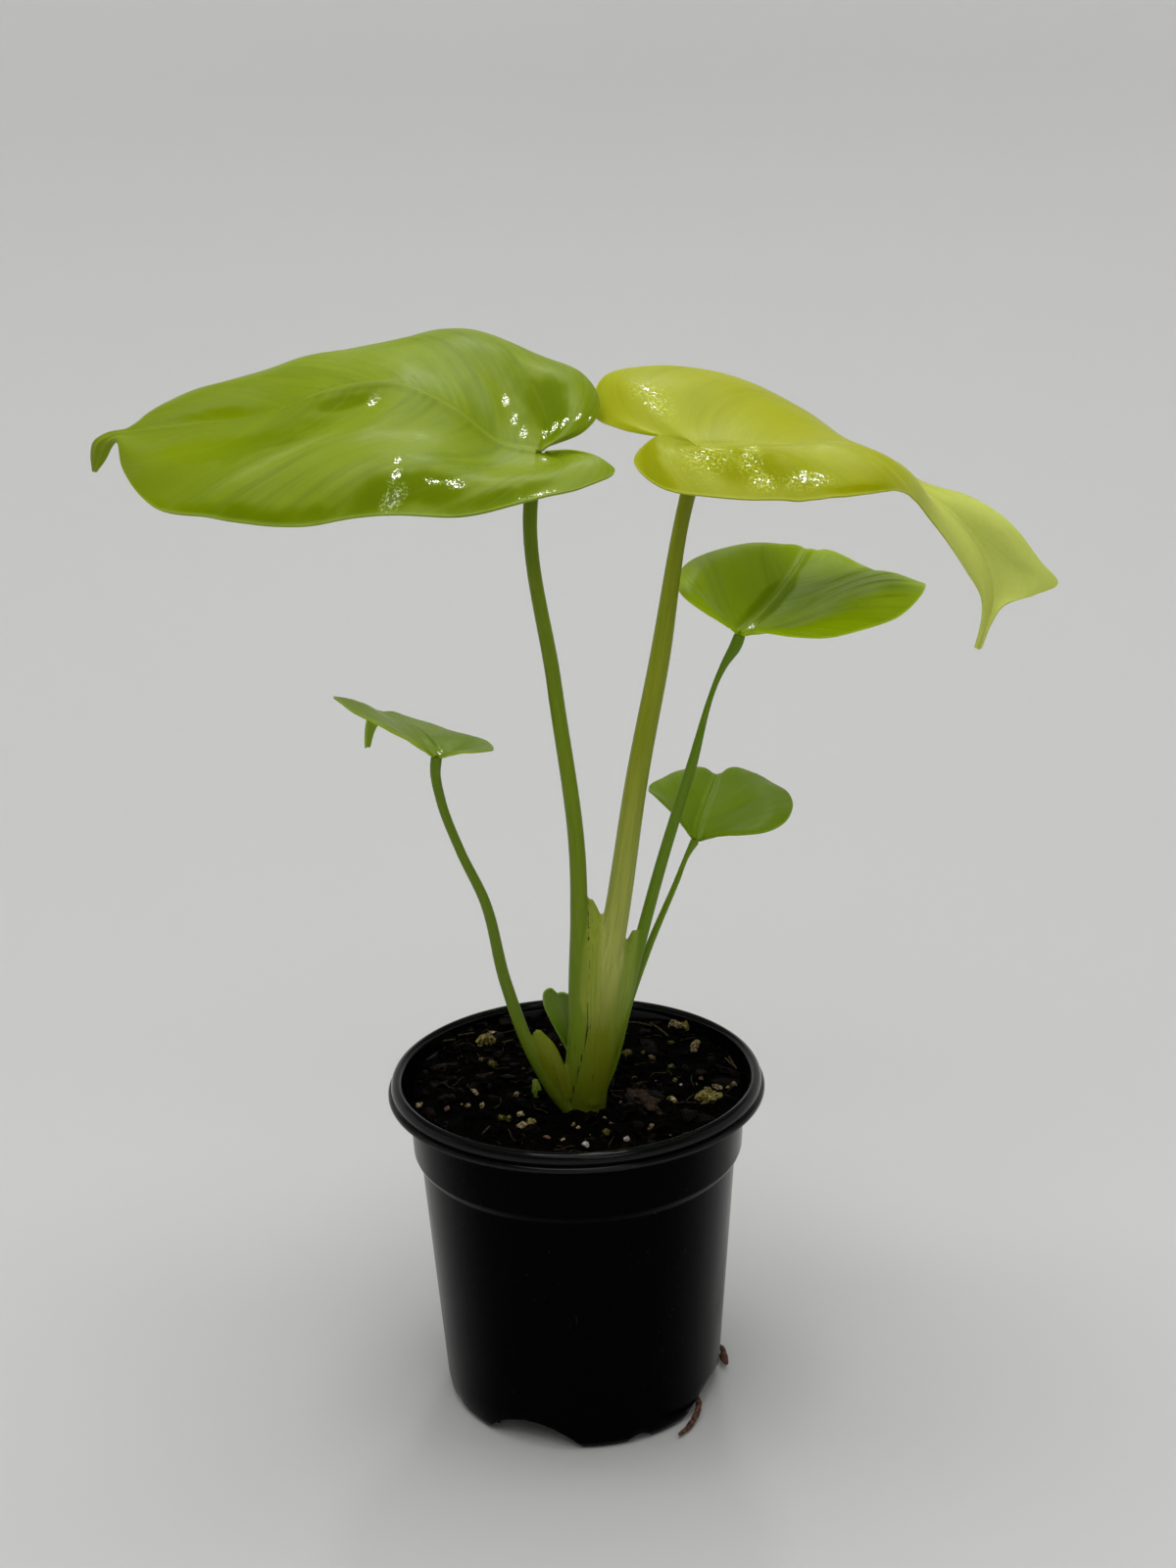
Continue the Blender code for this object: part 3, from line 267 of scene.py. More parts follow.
# The small facets of wet skin lean to the front and fan out sideways: their direction at the middle of the plant,
# how much the sideways part changes per metre, and how far they scatter
FACET_LEAN = (0.086, -0.29, 0.94)
FACET_FAN = -2.8
FACET_SPREAD = (0.8, 0.8, 0.8)
BLADES = {
    "tall_left": dict(
        rib=[(-6, 0, 278), (-15, 1, 280), (-27, 4, 289), (-44, 8, 296), (-60, 11, 294), (-76, 14, 288),
             (-98, 18, 285), (-115, 21, 283), (-121, 22, 282), (-125, 23, 280), (-127.6, 24, 272)],
        left=[(-2, -3, 278), (7, -9, 278), (14, -17, 275), (6, -26, 273), (-8, -33, 271), (-23, -38, 270),
              (-43, -40, 271), (-66, -38, 268), (-86, -31, 268), (-105, -15, 270), (-116, 6, 276),
              (-119.5, 18, 280.6), (-121.2, 20.5, 279), (-123.4, 22, 275.6), (-126.6, 23, 272)],
        right=[(-3, 3, 279), (6.5, 10, 281.5), (11.3, 21, 287), (7.5, 32, 293), (-4.5, 40, 298.5),
               (-18.5, 46, 304), (-33, 49, 305), (-52, 50, 300), (-74, 47, 297), (-94, 40, 293), (-112, 31, 287),
               (-118, 25, 283), (-123.6, 26, 281.8), (-127.4, 26.5, 279.4), (-128.2, 26, 276), (-127.8, 25, 272)],
        lobe=0.24, lift=(0.04, 0.08), dip=(0.05, 0.03), wave=0.008, rows=(84, 236), columns=62, veins=7,
        vein_relief=0.1, wobble=0.5,
        folds=[(0, 0.56, 0.09, 0.06, 0.1, -1.3), (0, 0.7, 0.22, 0.12, 0.2, 1.5), (0, 0.68, 0.8, 0.12, 0.25, -1.6),
               (0, 0.53, 0.45, 0.035, 0.5, 1.1), (0, 0.42, 1.0, 0.1, 0.16, -1.8), (0, 0.3, 0.95, 0.06, 0.12, -0.9),
               (1, 0.77, 0.12, 0.09, 0.14, -1.1), (1, 0.35, 0.28, 0.03, 0.16, 0.9), (1, 0.2, 0.3, 0.06, 0.2, -1.2),
               (0, 0.12, 0.5, 0.05, 0.3, 0.6)],
        crinkles=[(0, 0.528, 0.1, 0.009, 0.05, 0.9, 0.12), (0, 0.416, 0.92, 0.012, 0.07, 1.0, 0.15),
                  (0, 0.428, 0.8, 0.006, 0.05, 0.9, 0.12), (0, 0.436, 0.69, 0.005, 0.04, 0.8, 0.1),
                  (0, 0.352, 0.77, 0.014, 0.04, 0.9, 0.15), (0, 0.38, 0.79, 0.014, 0.02, 0.6, 0.1),
                  (0, 0.228, 0.965, 0.024, 0.02, 0.9, 0.1), (0, 0.17, 0.18, 0.018, 0.05, 0.7, 0.12),
                  (1, 0.275, 0.14, 0.007, 0.06, 1.0, 0.15), (1, 0.296, 0.23, 0.006, 0.05, 1.0, 0.15),
                  (1, 0.32, 0.33, 0.008, 0.05, 0.9, 0.12), (1, 0.217, 0.2, 0.022, 0.05, 0.9, 0.2),
                  (1, 0.175, 0.32, 0.018, 0.06, 1.0, 0.2), (1, 0.14, 0.44, 0.016, 0.07, 1.0, 0.2),
                  (1, 0.115, 0.64, 0.01, 0.06, 0.8, 0.15), (1, 0.093, 0.88, 0.01, 0.03, 0.8, 0.1)],
        deep=[(0, 0.7, 0.45, 0.11, 0.26, 1.0), (0, 0.57, 0.1, 0.05, 0.07, 1.0), (1, 0.77, 0.2, 0.06, 0.14, 0.9),
              (1, 0.2, 0.36, 0.11, 0.34, 1.0), (0, 0.4, 0.86, 0.08, 0.15, 1.0), (0, 0.28, 0.9, 0.08, 0.12, 0.9),
              (0, 0.62, 0.97, 0.2, 0.07, 0.7), (1, 0.5, 0.45, 0.12, 0.32, -0.7), (0, 0.42, 0.3, 0.09, 0.24, -0.3),
              (1, 0.85, 0.6, 0.14, 0.3, -0.4), (0, 0.12, 0.6, 0.08, 0.3, -0.3), (0, 0.585, 0.6, 0.022, 0.3, -0.9)]),
    "tall_right": dict(
        rib=[(37, 0, 278), (49, -1, 278), (62, -2, 278), (75, -4, 279), (85, -7, 274), (93, -10, 267),
             (102, -13, 260), (110, -16, 249), (112, -18, 240), (110, -20, 232), (108.2, -20.5, 226.6)],
        left=[(31, 4, 280), (16.5, 17, 281), (9.5, 29, 284), (13, 39, 292), (26.5, 44, 294), (40.5, 46, 293),
              (55.5, 44, 288.5), (68.5, 39, 281.5), (81, 30, 273.5), (90, 18, 269), (98, 3, 265), (106, -8, 265),
              (117, -16, 258), (124, -20, 249), (128, -22, 244), (122, -22, 241), (114, -21, 238),
              (111, -21, 233), (109, -21, 227)],
        right=[(31, -4, 280), (22, -13, 281), (19, -22, 278), (25, -31, 273), (37, -38, 272), (53, -41, 271),
               (65, -40, 271), (77, -35, 271), (88, -27, 269), (95, -22, 261), (104, -20, 248),
               (108.5, -20, 240), (108.5, -20, 232), (107.4, -20, 227)],
        lobe=0.2, lift=(0.03, 0.16), dip=(0.02, 0.03), wave=0.006, rows=(70, 236), columns=60, veins=6,
        vein_relief=0.06, wobble=0.3,
        folds=[(1, 0.27, 0.6, 0.03, 0.4, -0.5), (1, 0.38, 0.7, 0.016, 0.3, -0.9), (1, 0.45, 0.75, 0.02, 0.3, 0.6),
               (1, 0.54, 0.6, 0.012, 0.4, 0.5), (1, 0.59, 0.6, 0.01, 0.4, -0.4)],
        crinkles=[(1, 0.3, 0.6, 0.07, 0.34, 0.36, 0.04), (1, 0.38, 0.62, 0.03, 0.3, 0.38, 0.07),
                  (1, 0.404, 0.88, 0.03, 0.09, 0.46, 0.08), (1, 0.48, 0.88, 0.05, 0.07, 0.48, 0.08),
                  (1, 0.24, 0.5, 0.03, 0.2, 0.34, 0.05), (0, 0.22, 0.55, 0.035, 0.3, 0.36, 0.02)],
        deep=[(1, 0.18, 0.85, 0.05, 0.25, 1.0), (0, 0.1, 0.8, 0.06, 0.2, 0.5), (1, 0.56, 0.96, 0.08, 0.04, 0.8),
              (1, 0.85, 0.5, 0.1, 0.5, 0.5), (1, 0.33, 0.6, 0.11, 0.45, 0.85), (1, 0.62, 0.4, 0.04, 0.4, -0.6),
              (1, 0.53, 0.65, 0.07, 0.3, -0.8)]),
    "mid_right": dict(
        rib=[(47, -6, 229), (57, 12, 233), (66, 32, 238), (71, 43, 241), (74, 50, 238.2), (75, 53, 231)],
        left=[(44, -8, 231), (38, -8, 235), (32, -3, 239), (31, 8, 241), (35, 20, 243), (46, 34, 244),
              (58, 43, 243.2), (68, 48, 239.8), (73, 51, 236), (74, 53, 231)],
        right=[(50, -12, 231), (59, -19, 231), (69, -21, 231), (78, -18, 232), (90, -9, 234), (98, 5, 237),
               (99, 18, 236), (93, 28, 235), (84, 38, 237.5), (77, 46, 239.4), (76, 51, 235.5), (76, 53, 231)],
        lobe=0.3, lift=(0.1, 0.08), dip=(0.05, 0.04), wave=0.004, rows=(64, 130), columns=50, veins=6,
        vein_relief=0.12, wobble=0.4,
        folds=[(1, 0.5, 0.5, 0.04, 0.4, -0.5), (1, 0.62, 0.5, 0.03, 0.4, -0.5), (0, 0.4, 0.4, 0.06, 0.3, -0.6)],
        crinkles=[(1, 0.351, 0.05, 0.03, 0.04, 0.7, 0.2)],
        deep=[(1, 0.55, 0.05, 0.2, 0.05, 0.9), (0, 0.5, 0.08, 0.2, 0.08, 0.9), (1, 0.58, 0.7, 0.012, 0.25, 0.9),
              (1, 0.5, 0.75, 0.01, 0.2, 0.9), (1, 0.66, 0.65, 0.01, 0.2, 0.9), (1, 0.42, 0.85, 0.01, 0.12, 0.8),
              (1, 0.54, 0.5, 0.011, 0.18, 0.8), (1, 0.62, 0.42, 0.011, 0.16, 0.8), (1, 0.46, 0.5, 0.01, 0.16, 0.7),
              (1, 0.71, 0.75, 0.012, 0.18, 0.8), (1, 0.48, 0.3, 0.05, 0.05, 0.5)]),
    "low_right": dict(
        rib=[(35, 1, 168.5), (37.5, 11, 172.5), (41, 23, 176), (43.5, 33, 177), (44.5, 38, 172)],
        left=[(33, -1, 171), (28, -2, 178.5), (24, 2, 181.5), (22.5, 9, 181.5), (26.5, 18, 181),
              (32.5, 27, 180.5), (39, 34, 179), (43.5, 38, 172)],
        right=[(38, -3, 170.5), (45.5, -9, 173), (53, -9, 173.5), (59, -4, 174.5), (62.5, 5, 175.5),
               (62.5, 15, 176.5), (59, 24, 177), (54, 31, 178), (48.5, 36, 178), (45.5, 38, 172)],
        lobe=0.28, lift=(0.08, 0.08), dip=(0.04, 0.04), wave=0.006, rows=(44, 96), columns=34, veins=5,
        vein_relief=0.06, wobble=0.25, folds=[(1, 0.5, 0.45, 0.05, 0.3, -0.4)], crinkles=[],
        deep=[(1, 0.1, 0.1, 0.1, 0.3, 0.8), (0, 0.1, 0.1, 0.1, 0.3, 0.8)]),
    "low_left": dict(
        rib=[(-35.5, -6, 197), (-38, 0, 199.5), (-42, 8, 201), (-47, 17, 201), (-52, 26, 200.5),
             (-55, 31, 199.5), (-57, 33, 195), (-58, 34, 188.5)],
        left=[(-37, -9, 198), (-39, -12, 201), (-41, -13, 203), (-48, -10, 206), (-55.5, -4, 208.5),
              (-60.5, 2, 209.5), (-64, 8, 210.5), (-62.5, 16, 207.5), (-59, 24, 204), (-57, 30, 200.5),
              (-58, 32, 194), (-58.7, 34, 188)],
        right=[(-34, -9, 197.5), (-29.5, -13, 200), (-24.5, -11, 199.5), (-20.5, -5, 198), (-20.5, 2, 197),
               (-23, 9, 196.5), (-27, 16, 195), (-33, 22, 195), (-44, 30, 197), (-50, 32, 198.5),
               (-54.5, 33.5, 195), (-57.3, 34.5, 188)],
        lobe=0.28, lift=(0.02, 0.04), dip=(0.03, 0.03), wave=0.008, rows=(44, 96), columns=34, veins=5,
        vein_relief=0.15, wobble=0.25, folds=[], crinkles=[(1, 0.3, 0.1, 0.05, 0.12, 0.6, 0.2)],
        deep=[(1, 0.45, 0.04, 0.2, 0.08, 0.9)]),
}
SPROUT_LEAF = dict(
    rib=[(2, -6, 96), (-0.5, -3.5, 109.5), (-2.8, -1.8, 116), (-4.9, -1.4, 124.0)],
    left=[(1, -6.5, 96), (-1.8, -5, 107), (-4.9, -4.2, 113.4), (-7.4, -3.7, 118.8), (-8.7, -3.2, 122.8),
          (-8.3, -2.6, 125.6), (-6.7, -2, 126.3), (-5.0, -1.5, 124.2)],
    right=[(3.5, -6.5, 96), (2.4, -4.5, 109), (1.8, -3.6, 116), (0.2, -3, 121.5), (-1.2, -2.4, 124),
           (-3.4, -1.8, 124.8), (-4.8, -1.5, 124.2)],
    lobe=0.04, lift=(-0.08, -0.08), dip=(0, 0), wave=0, rows=(4, 70), columns=18, veins=4, vein_relief=0.05,
    wobble=0.1, folds=[], crinkles=[], deep=[(0, 0.3, 0.4, 0.3, 0.6, 0.7), (1, 0.4, 0.1, 0.4, 0.2, 0.9)])
SPROUT_TIP = [(-12, -2, 90.5, 1.2), (-11.5, -2, 95, 1.4), (-12, -1, 97.5, 0.7)]
SPROUT_TIP_COLOUR = (0.16, 0.24, 0.01)
# Colours of each blade, its darker patches and its tip, the strength of its sheen, and how streaked it is
SPROUT_COLOURS = ((0.17, 0.28, 0.015), (0.12, 0.22, 0.008), (0.22, 0.32, 0.05), 0.3, 0.4)
SPROUT_GLOSS = (0.3, 0.45)
GLOSS_RANGE = 0.16
UNDER_GLOSS = (0.42, 0.6)
LEAF_COLOURS = {
    "tall_left": ((0.22, 0.30, 0.001), (0.15, 0.225, 0.0), (0.19, 0.26, 0.0), 0.2, 0.5),
    # Painted light: the tall right blade's tip colour is lighter, for its hanging tip lit from the front and through
    # the leaf.
    "tall_right": ((0.39, 0.42, 0.01), (0.32, 0.35, 0.002), (0.56, 0.62, 0.13), 0.16, 0.35),
    # Painted light: the mid right colours are raised to make up for the shade of the blade above it.
    "mid_right": ((0.44, 0.60, 0.002), (0.30, 0.46, 0.0), (0.38, 0.54, 0.0), 0.15, 0.5),
    "low_right": ((0.21, 0.32, 0.003), (0.17, 0.27, 0.0), (0.19, 0.30, 0.0), 0.15, 0.4),
    "low_left": ((0.32, 0.45, 0.012), (0.24, 0.37, 0.006), (0.27, 0.40, 0.006), 0.25, 0.35),
}
LEAF_SLOTS = {"tall_left": "leaf_green", "tall_right": "leaf_yellow", "mid_right": "leaf_dark",
              "low_right": "leaf_dark", "low_left": "leaf_pale"}

ROOTS = {
    "front": [(31.6, -20.4, 5.0, 0.8), (33.0, -23.6, 3.8, 1.0), (31.9, -27.8, 2.2, 1.0),
              (30.0, -31.8, 1.7, 0.9), (26.7, -36.0, 1.4, 0.6)],
    "side": [(36.2, 15.2, 1.4, 0.7), (39.2, 12.8, 1.4, 0.7), (41.5, 7.6, 2.2, 0.8), (42.1, 2.0, 4.2, 1.0),
             (42.3, 0.2, 2.8, 1.3), (43.1, -1.0, 1.4, 0.6)],
}
ROOT_DARK = (0.035, 0.014, 0.008)
ROOT_ROUGHNESS, ROOT_LUMPS, ROOT_SHRINK = 0.22, 1.4, 0.12

# Stage: the flat floor's radius, the bend up from it and the wall's top, and the lamps as name, place, the point
# that each faces, its sides in metres, and its share of the lamp power
FLOOR_REACH, FLOOR_BEND, WALL_TOP = 560.0, 380.0, 1250.0
FLOOR_DROP = 0.02
FLOOR_SHADE = (0.60, 0.60, 0.595)
FLOOR_STEPS, BEND_STEPS = 96, 24
# Where painted shade darkens the paper for a dark room, in metres: towards the viewer's side, up the wall, and at
# its top
ROOM_DEPTHS, ROOM_HEIGHTS, TOP_HEIGHTS = (0.1, -0.5), (0.02, 0.4), (0.55, 0.7)
LAMPS = [
    ("overhead_lamp", (0.0, 0.05, 1.5), (0.0, 0.0, 0.1), (0.9, 0.9), 1.0),
    ("wall_lamp", (-0.25, 0.0, 1.35), (-0.1, 0.95, 0.3), (0.7, 0.3), 0.1),
    ("front_lamp", (-0.1, -0.8, 1.0), (0.0, 0.0, 0.2), (1.4, 0.7), 0.64),
    ("sparkle_lamp", (0.1, 0.9, 1.15), (0.0, 0.0, 0.28), (0.15, 0.15), 0.18),
    ("fill_lamp", (0.3, -0.9, 0.45), (0.0, 0.0, 0.2), (0.8, 0.5), 0.2),
]

# Camera
CAMERA_PLACE = (0.0, -0.5667, 0.3667)
CAMERA_YAW = 0.55
CAMERA_PITCH = 17.68
CAMERA_ROLL = 1.40
FOCAL_PIXELS = 2200.0
PICTURE_HEIGHT = 1600.0
SENSOR = 36.0


def smooth_curve(points):
    """A smooth curve through points, as a fine polyline and its length up to each point."""
    knots = np.array(points, float)
    spans = np.linalg.norm(np.diff(knots[:, :3], axis=0), axis=1)[:, None]
    slopes = np.diff(knots, axis=0) / spans
    middle = (slopes[:-1] * spans[1:] + slopes[1:] * spans[:-1]) / (spans[:-1] + spans[1:])
    tangents = np.vstack([slopes[:1], middle, slopes[-1:]])
    fine = []
    for i, span in enumerate(spans):
        for t in np.arange(SPLINE_STEPS) / SPLINE_STEPS:
            start = (1 + 2 * t) * (1 - t) ** 2 * knots[i] + t * (1 - t) ** 2 * span * tangents[i]
            end = t * t * (3 - 2 * t) * knots[i + 1] + t * t * (t - 1) * span * tangents[i + 1]
            fine.append(start + end)
    fine = np.array(fine + [knots[-1]])
    lengths = np.linalg.norm(np.diff(fine[:, :3], axis=0), axis=1)
    return fine, np.concatenate([[0.0], np.cumsum(lengths)])


def read_curve(curve, shares):
    """Points of a smooth curve at these shares of its length."""
    fine, lengths = curve
    where = np.asarray(shares, float) * lengths[-1]
    return np.stack([np.interp(where, lengths, column) for column in fine.T], axis=-1)


def noise_values(points, size, seed, octaves):
    """Smooth random values, about -1 to 1, at points, for features of this size."""
    shift = Vector((seed * 17.3, seed * 5.1, seed * 9.7))
    return np.array([noise.fractal(Vector(p) / size + shift, 1.0, 2.0, octaves) for p in points])


def new_object(name, data):
    """An object in the scene that holds this data."""
    obj = bpy.data.objects.new(name, data)
    bpy.context.scene.collection.objects.link(obj)
    return obj


def mesh_object(name, vertices, faces):
    """An object from vertices in millimetres."""
    mesh = bpy.data.meshes.new(name)
    mesh.from_pydata((np.asarray(vertices, float) * MM).tolist(), [], faces)
    mesh.update()
    return new_object(name, mesh)


def apply_modifiers(obj):
    """Turns an object's modifiers into its mesh."""
    bpy.context.view_layer.update()
    evaluated = obj.evaluated_get(bpy.context.evaluated_depsgraph_get())
    mesh = bpy.data.meshes.new_from_object(evaluated)
    obj.modifiers.clear()
    obj.data = mesh


def shade(obj, sharp_angle):
    """Smooth shading with sharp edges above this angle."""
    obj.data.shade_smooth()
    obj.data.set_sharp_from_angle(angle=math.radians(sharp_angle))


def hand_over(obj, slot, *nodes):
    """Attaches a finished piece to the body and hides the solids that it replaces."""
    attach(obj, BODY)
    if nodes:
        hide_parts(*nodes)


def dress(obj, material, sharp_angle, slot, *nodes):
    """Shades a piece, gives it its only material and hands it over."""
    shade(obj, sharp_angle)
    obj.data.materials.clear()
    obj.data.materials.append(material)
    hand_over(obj, slot, *nodes)


def vertex_places(obj):
    """Vertex places in millimetres."""
    places = np.empty(len(obj.data.vertices) * 3)
    obj.data.vertices.foreach_get("co", places)
    return places.reshape(-1, 3) / MM


def move_vertices(obj, places):
    """Puts vertices at places in millimetres."""
    obj.data.vertices.foreach_set("co", (np.asarray(places, float) * MM).ravel())
    obj.data.update()


def vertex_normals(obj):
    """Directions in which the surface faces at its vertices."""
    return np.array([tuple(normal.vector) for normal in obj.data.vertex_normals])


def add_attribute(obj, name, kind, values):
    """Writes one value per vertex for the materials to read."""
    attribute = obj.data.attributes.new(name, kind, "POINT")
    key = {"FLOAT": "value", "FLOAT_VECTOR": "vector", "FLOAT_COLOR": "color"}[kind]
    attribute.data.foreach_set(key, np.asarray(values, np.float32).ravel())


def tube(name, points, sides, spacing=0.8):
    """A round rod with rounded ends, along x, y, z, radius points."""
    curve = smooth_curve(points)
    count = max(6, int(curve[1][-1] / spacing) + 1)
    rows = read_curve(curve, np.linspace(0, 1, count))
    path, radii = rows[:, :3], rows[:, 3]
    along = np.gradient(path, axis=0)
    along /= np.linalg.norm(along, axis=1)[:, None]
    side = np.cross(along, (0.0, 1.0, 0.0))
    side /= np.linalg.norm(side, axis=1)[:, None]
    front = np.cross(along, side)
    angles = np.arange(sides) * math.tau / sides
    ring = np.cos(angles)[None, :, None] * side[:, None] + np.sin(angles)[None, :, None] * front[:, None]
    vertices = (path[:, None] + ring * radii[:, None, None]).reshape(-1, 3)
    low = path[0] - along[0] * radii[0] * END_BULGE
    high = path[-1] + along[-1] * radii[-1] * END_BULGE
    vertices = np.vstack([vertices, low, high])
    faces = []
    for row in range(count - 1):
        for i in range(sides):
            j = (i + 1) % sides
            faces.append((row * sides + i, row * sides + j, (row + 1) * sides + j, (row + 1) * sides + i))
    last = (count - 1) * sides
    for i in range(sides):
        j = (i + 1) % sides
        faces.append((count * sides, j, i))
        faces.append((count * sides + 1, last + i, last + j))
    return mesh_object(name, vertices, faces)


def join(name, objects):
    """One object from several."""
    form = bmesh.new()
    for obj in objects:
        form.from_mesh(obj.data)
        bpy.data.objects.remove(obj)
    bmesh.ops.recalc_face_normals(form, faces=form.faces)
    mesh = bpy.data.meshes.new(name)
    form.to_mesh(mesh)
    form.free()
    return new_object(name, mesh)


class Finish:
    """A procedural material, with short ways to add its nodes."""

    def __init__(self, name, **constants):
        self.material = bpy.data.materials.new(name)
        self.material.use_nodes = True
        self.tree = self.material.node_tree
        self.surface = self.tree.nodes["Principled BSDF"]
        for socket, value in constants.items():
            self.surface.inputs[socket.replace("_", " ")].default_value = value

    def add(self, kind, inputs=None, **settings):
        """A new node with these inputs, by socket name or number, and settings."""
        node = self.tree.nodes.new("ShaderNode" + kind)
        for key, value in settings.items():
            setattr(node, key, value)
        for key, value in (inputs or {}).items():
            self.feed(node.inputs[key], value)
        return node

    def feed(self, socket, value):
        """Links another node's output to a socket, or sets the socket's number or colour."""
        if isinstance(value, bpy.types.NodeSocket):
            self.tree.links.new(value, socket)
        else:
            socket.default_value = value

    def position(self):
        """Place on the object, in metres."""
        return self.add("TexCoord").outputs["Object"]

    def uv(self, name):
        return self.add("UVMap", uv_map=name).outputs["UV"]

    def attribute(self, name, output="Fac"):
        return self.add("Attribute", attribute_name=name).outputs[output]

    def stretch(self, vector, scale):
        return self.vector_math("MULTIPLY", vector, scale)

    def noise(self, vector, scale, detail=3.0, roughness=0.55):
        inputs = {"Vector": vector, "Scale": scale, "Detail": detail, "Roughness": roughness}
        return self.add("TexNoise", inputs).outputs["Fac"]

    def cells(self, vector, scale):
        return self.add("TexVoronoi", {"Vector": vector, "Scale": scale}).outputs["Distance"]

    def math(self, operation, first, second):
        return self.add("Math", {0: first, 1: second}, operation=operation).outputs[0]

    def vector_math(self, operation, first, *second):
        inputs = dict(enumerate((first, *second)))
        return self.add("VectorMath", inputs, operation=operation).outputs[0]

    def remap(self, value, low, high, start=0.0, end=1.0):
        """Eases from start to end as a value goes from low to high."""
        inputs = {"Value": value, "From Min": low, "From Max": high, "To Min": start, "To Max": end}
        return self.add("MapRange", inputs, interpolation_type="SMOOTHSTEP").outputs[0]

    def mix(self, share, first, second):
        """The first colour with this share of the second."""
        first, second = [(*colour, 1.0) if isinstance(colour, tuple) else colour
                         for colour in (first, second)]
        return self.add("Mix", {0: share, 6: first, 7: second}, data_type="RGBA").outputs[2]

    def split(self, vector):
        return self.add("SeparateXYZ", {0: vector}).outputs

    def set(self, name, value):
        """Sets or links one of the surface's own sockets."""
        self.feed(self.surface.inputs[name], value)

    def relief(self, *layers):
        """Stacks bumps of height value, strength and depth in metres."""
        normal = None
        for height, strength, depth in layers:
            node = self.add("Bump", {"Height": height, "Strength": strength, "Distance": depth})
            if normal:
                self.feed(node.inputs["Normal"], normal)
            normal = node.outputs["Normal"]
        self.set("Normal", normal)
        self.set("Coat Normal", normal)


def pot_finish(settings):
    """Black moulded plastic with a satin skin, a shinier rim, faint scuffs and dust."""
    finish = Finish("pot_plastic", IOR=1.5, Coat_Roughness=0.07)
    position = finish.position()
    height = finish.split(position)[2]
    facing = finish.add("LayerWeight", {"Blend": 0.5}).outputs["Facing"]
    level = finish.remap(facing, 0.3, 0.9, settings.pot_sheen * FRONT_SHEEN, settings.pot_sheen)
    finish.set("Specular IOR Level", level)
    rim = finish.remap(height, RIM_HEIGHT * MM, (RIM_HEIGHT + RIM_FADE) * MM, 0.0, RIM_GLOSS)
    finish.set("Coat Weight", rim)
    flow = finish.noise(finish.stretch(position, FLOW_STRETCH), POT_FLOW, 4.0)
    grain = finish.noise(position, POT_GRAIN, 2.0)
    dust = finish.remap(finish.noise(position, POT_DUST, 2.0, 0.7), 0.70, 0.78)
    scuffs = finish.remap(finish.noise(finish.stretch(position, SCUFF_STRETCH), POT_SCUFFS, 3.0), 0.72, 0.80)
    marks = finish.math("MAXIMUM", finish.math("MULTIPLY", dust, 0.5), finish.math("MULTIPLY", scuffs, 0.25))
    finish.set("Base Color", finish.mix(marks, tuple(settings.pot_colour), DUST_COLOUR))
    worn = finish.math("ADD", flow, finish.math("MULTIPLY", marks, 0.6))
    finish.set("Roughness", finish.remap(worn, 0.3, 0.9, 0.17, 0.36))
    finish.relief((flow, 0.15, 0.0006), (grain, 0.12, 0.00005))
    return finish.material


def leaf_colour(finish, colours, under):
    """Leaf colour: streaks, patches, painted shade and sheen, the tip, veins, speckles, a pale edge and painted
    glints.
    """
    base, dark, tip, _, streaked = colours
    pale = tuple(min(1.0, value * 1.12 + 0.05) for value in base)
    painted_shade_colour = tuple(value * 0.85 for value in dark)
    veins = finish.uv("veins")
    along, across, _ = finish.split(finish.uv("shares"))
    streaks = finish.noise(finish.stretch(veins, STREAKS), 1.0, 3.0)
    patches = finish.noise(finish.stretch(veins, PATCHES), 1.0, 2.0)
    colour = finish.mix(finish.remap(finish.mix(streaked, patches, streaks), 0.32, 0.6), dark, base)
    painted_zone = finish.attribute("deep")
    # Painted shade darkens the zones above zero, and painted sheen makes the zones below zero paler.
    colour = finish.mix(finish.remap(painted_zone, 0.0, 1.0, 0.0, 0.9), colour, painted_shade_colour)
    colour = finish.mix(finish.remap(painted_zone, 0.0, -1.0, 0.0, 0.6), colour, pale)
    # Towards the tip the colour turns to the tip colour, which on the tall right blade is painted light.
    colour = finish.mix(finish.remap(along, 0.6, 0.8), colour, tip)
    colour = finish.mix(finish.math("MULTIPLY", finish.attribute("vein_line"), VEIN_SHARE), colour, pale)
    speckle = finish.remap(finish.noise(finish.position(), SPECKLES, 3.0, 0.7), 0.45, 0.75)
    colour = finish.mix(finish.math("MULTIPLY", speckle, SPECKLE_SHARE), colour, dark)
    edge = finish.remap(across, 0.98, 0.997)
    colour = finish.mix(finish.math("MULTIPLY", edge, EDGE_SHARE), colour, pale)
    if under:
        return finish.mix(UNDER_PALENESS, colour, pale)
    # Painted glints: pale crests on the wet crinkles, turning white where they are wettest.
    wet = finish.attribute("wet")
    painted_glints = finish.remap(finish.noise(finish.position(), PAINTED_GLINTS, 4.0, 0.7), 0.5, 0.6)
    painted_glints = finish.math("MULTIPLY", painted_glints, finish.remap(wet, 0.08, 0.4, 0.0, 0.8))
    painted_glint_colour = tuple(min(1.0, value * 1.45 + 0.11) for value in base)
    painted_glint_colour = finish.mix(finish.remap(wet, 0.6, 0.85), painted_glint_colour, PAINTED_GLINT_WHITE)
    return finish.mix(painted_glints, colour, painted_glint_colour)


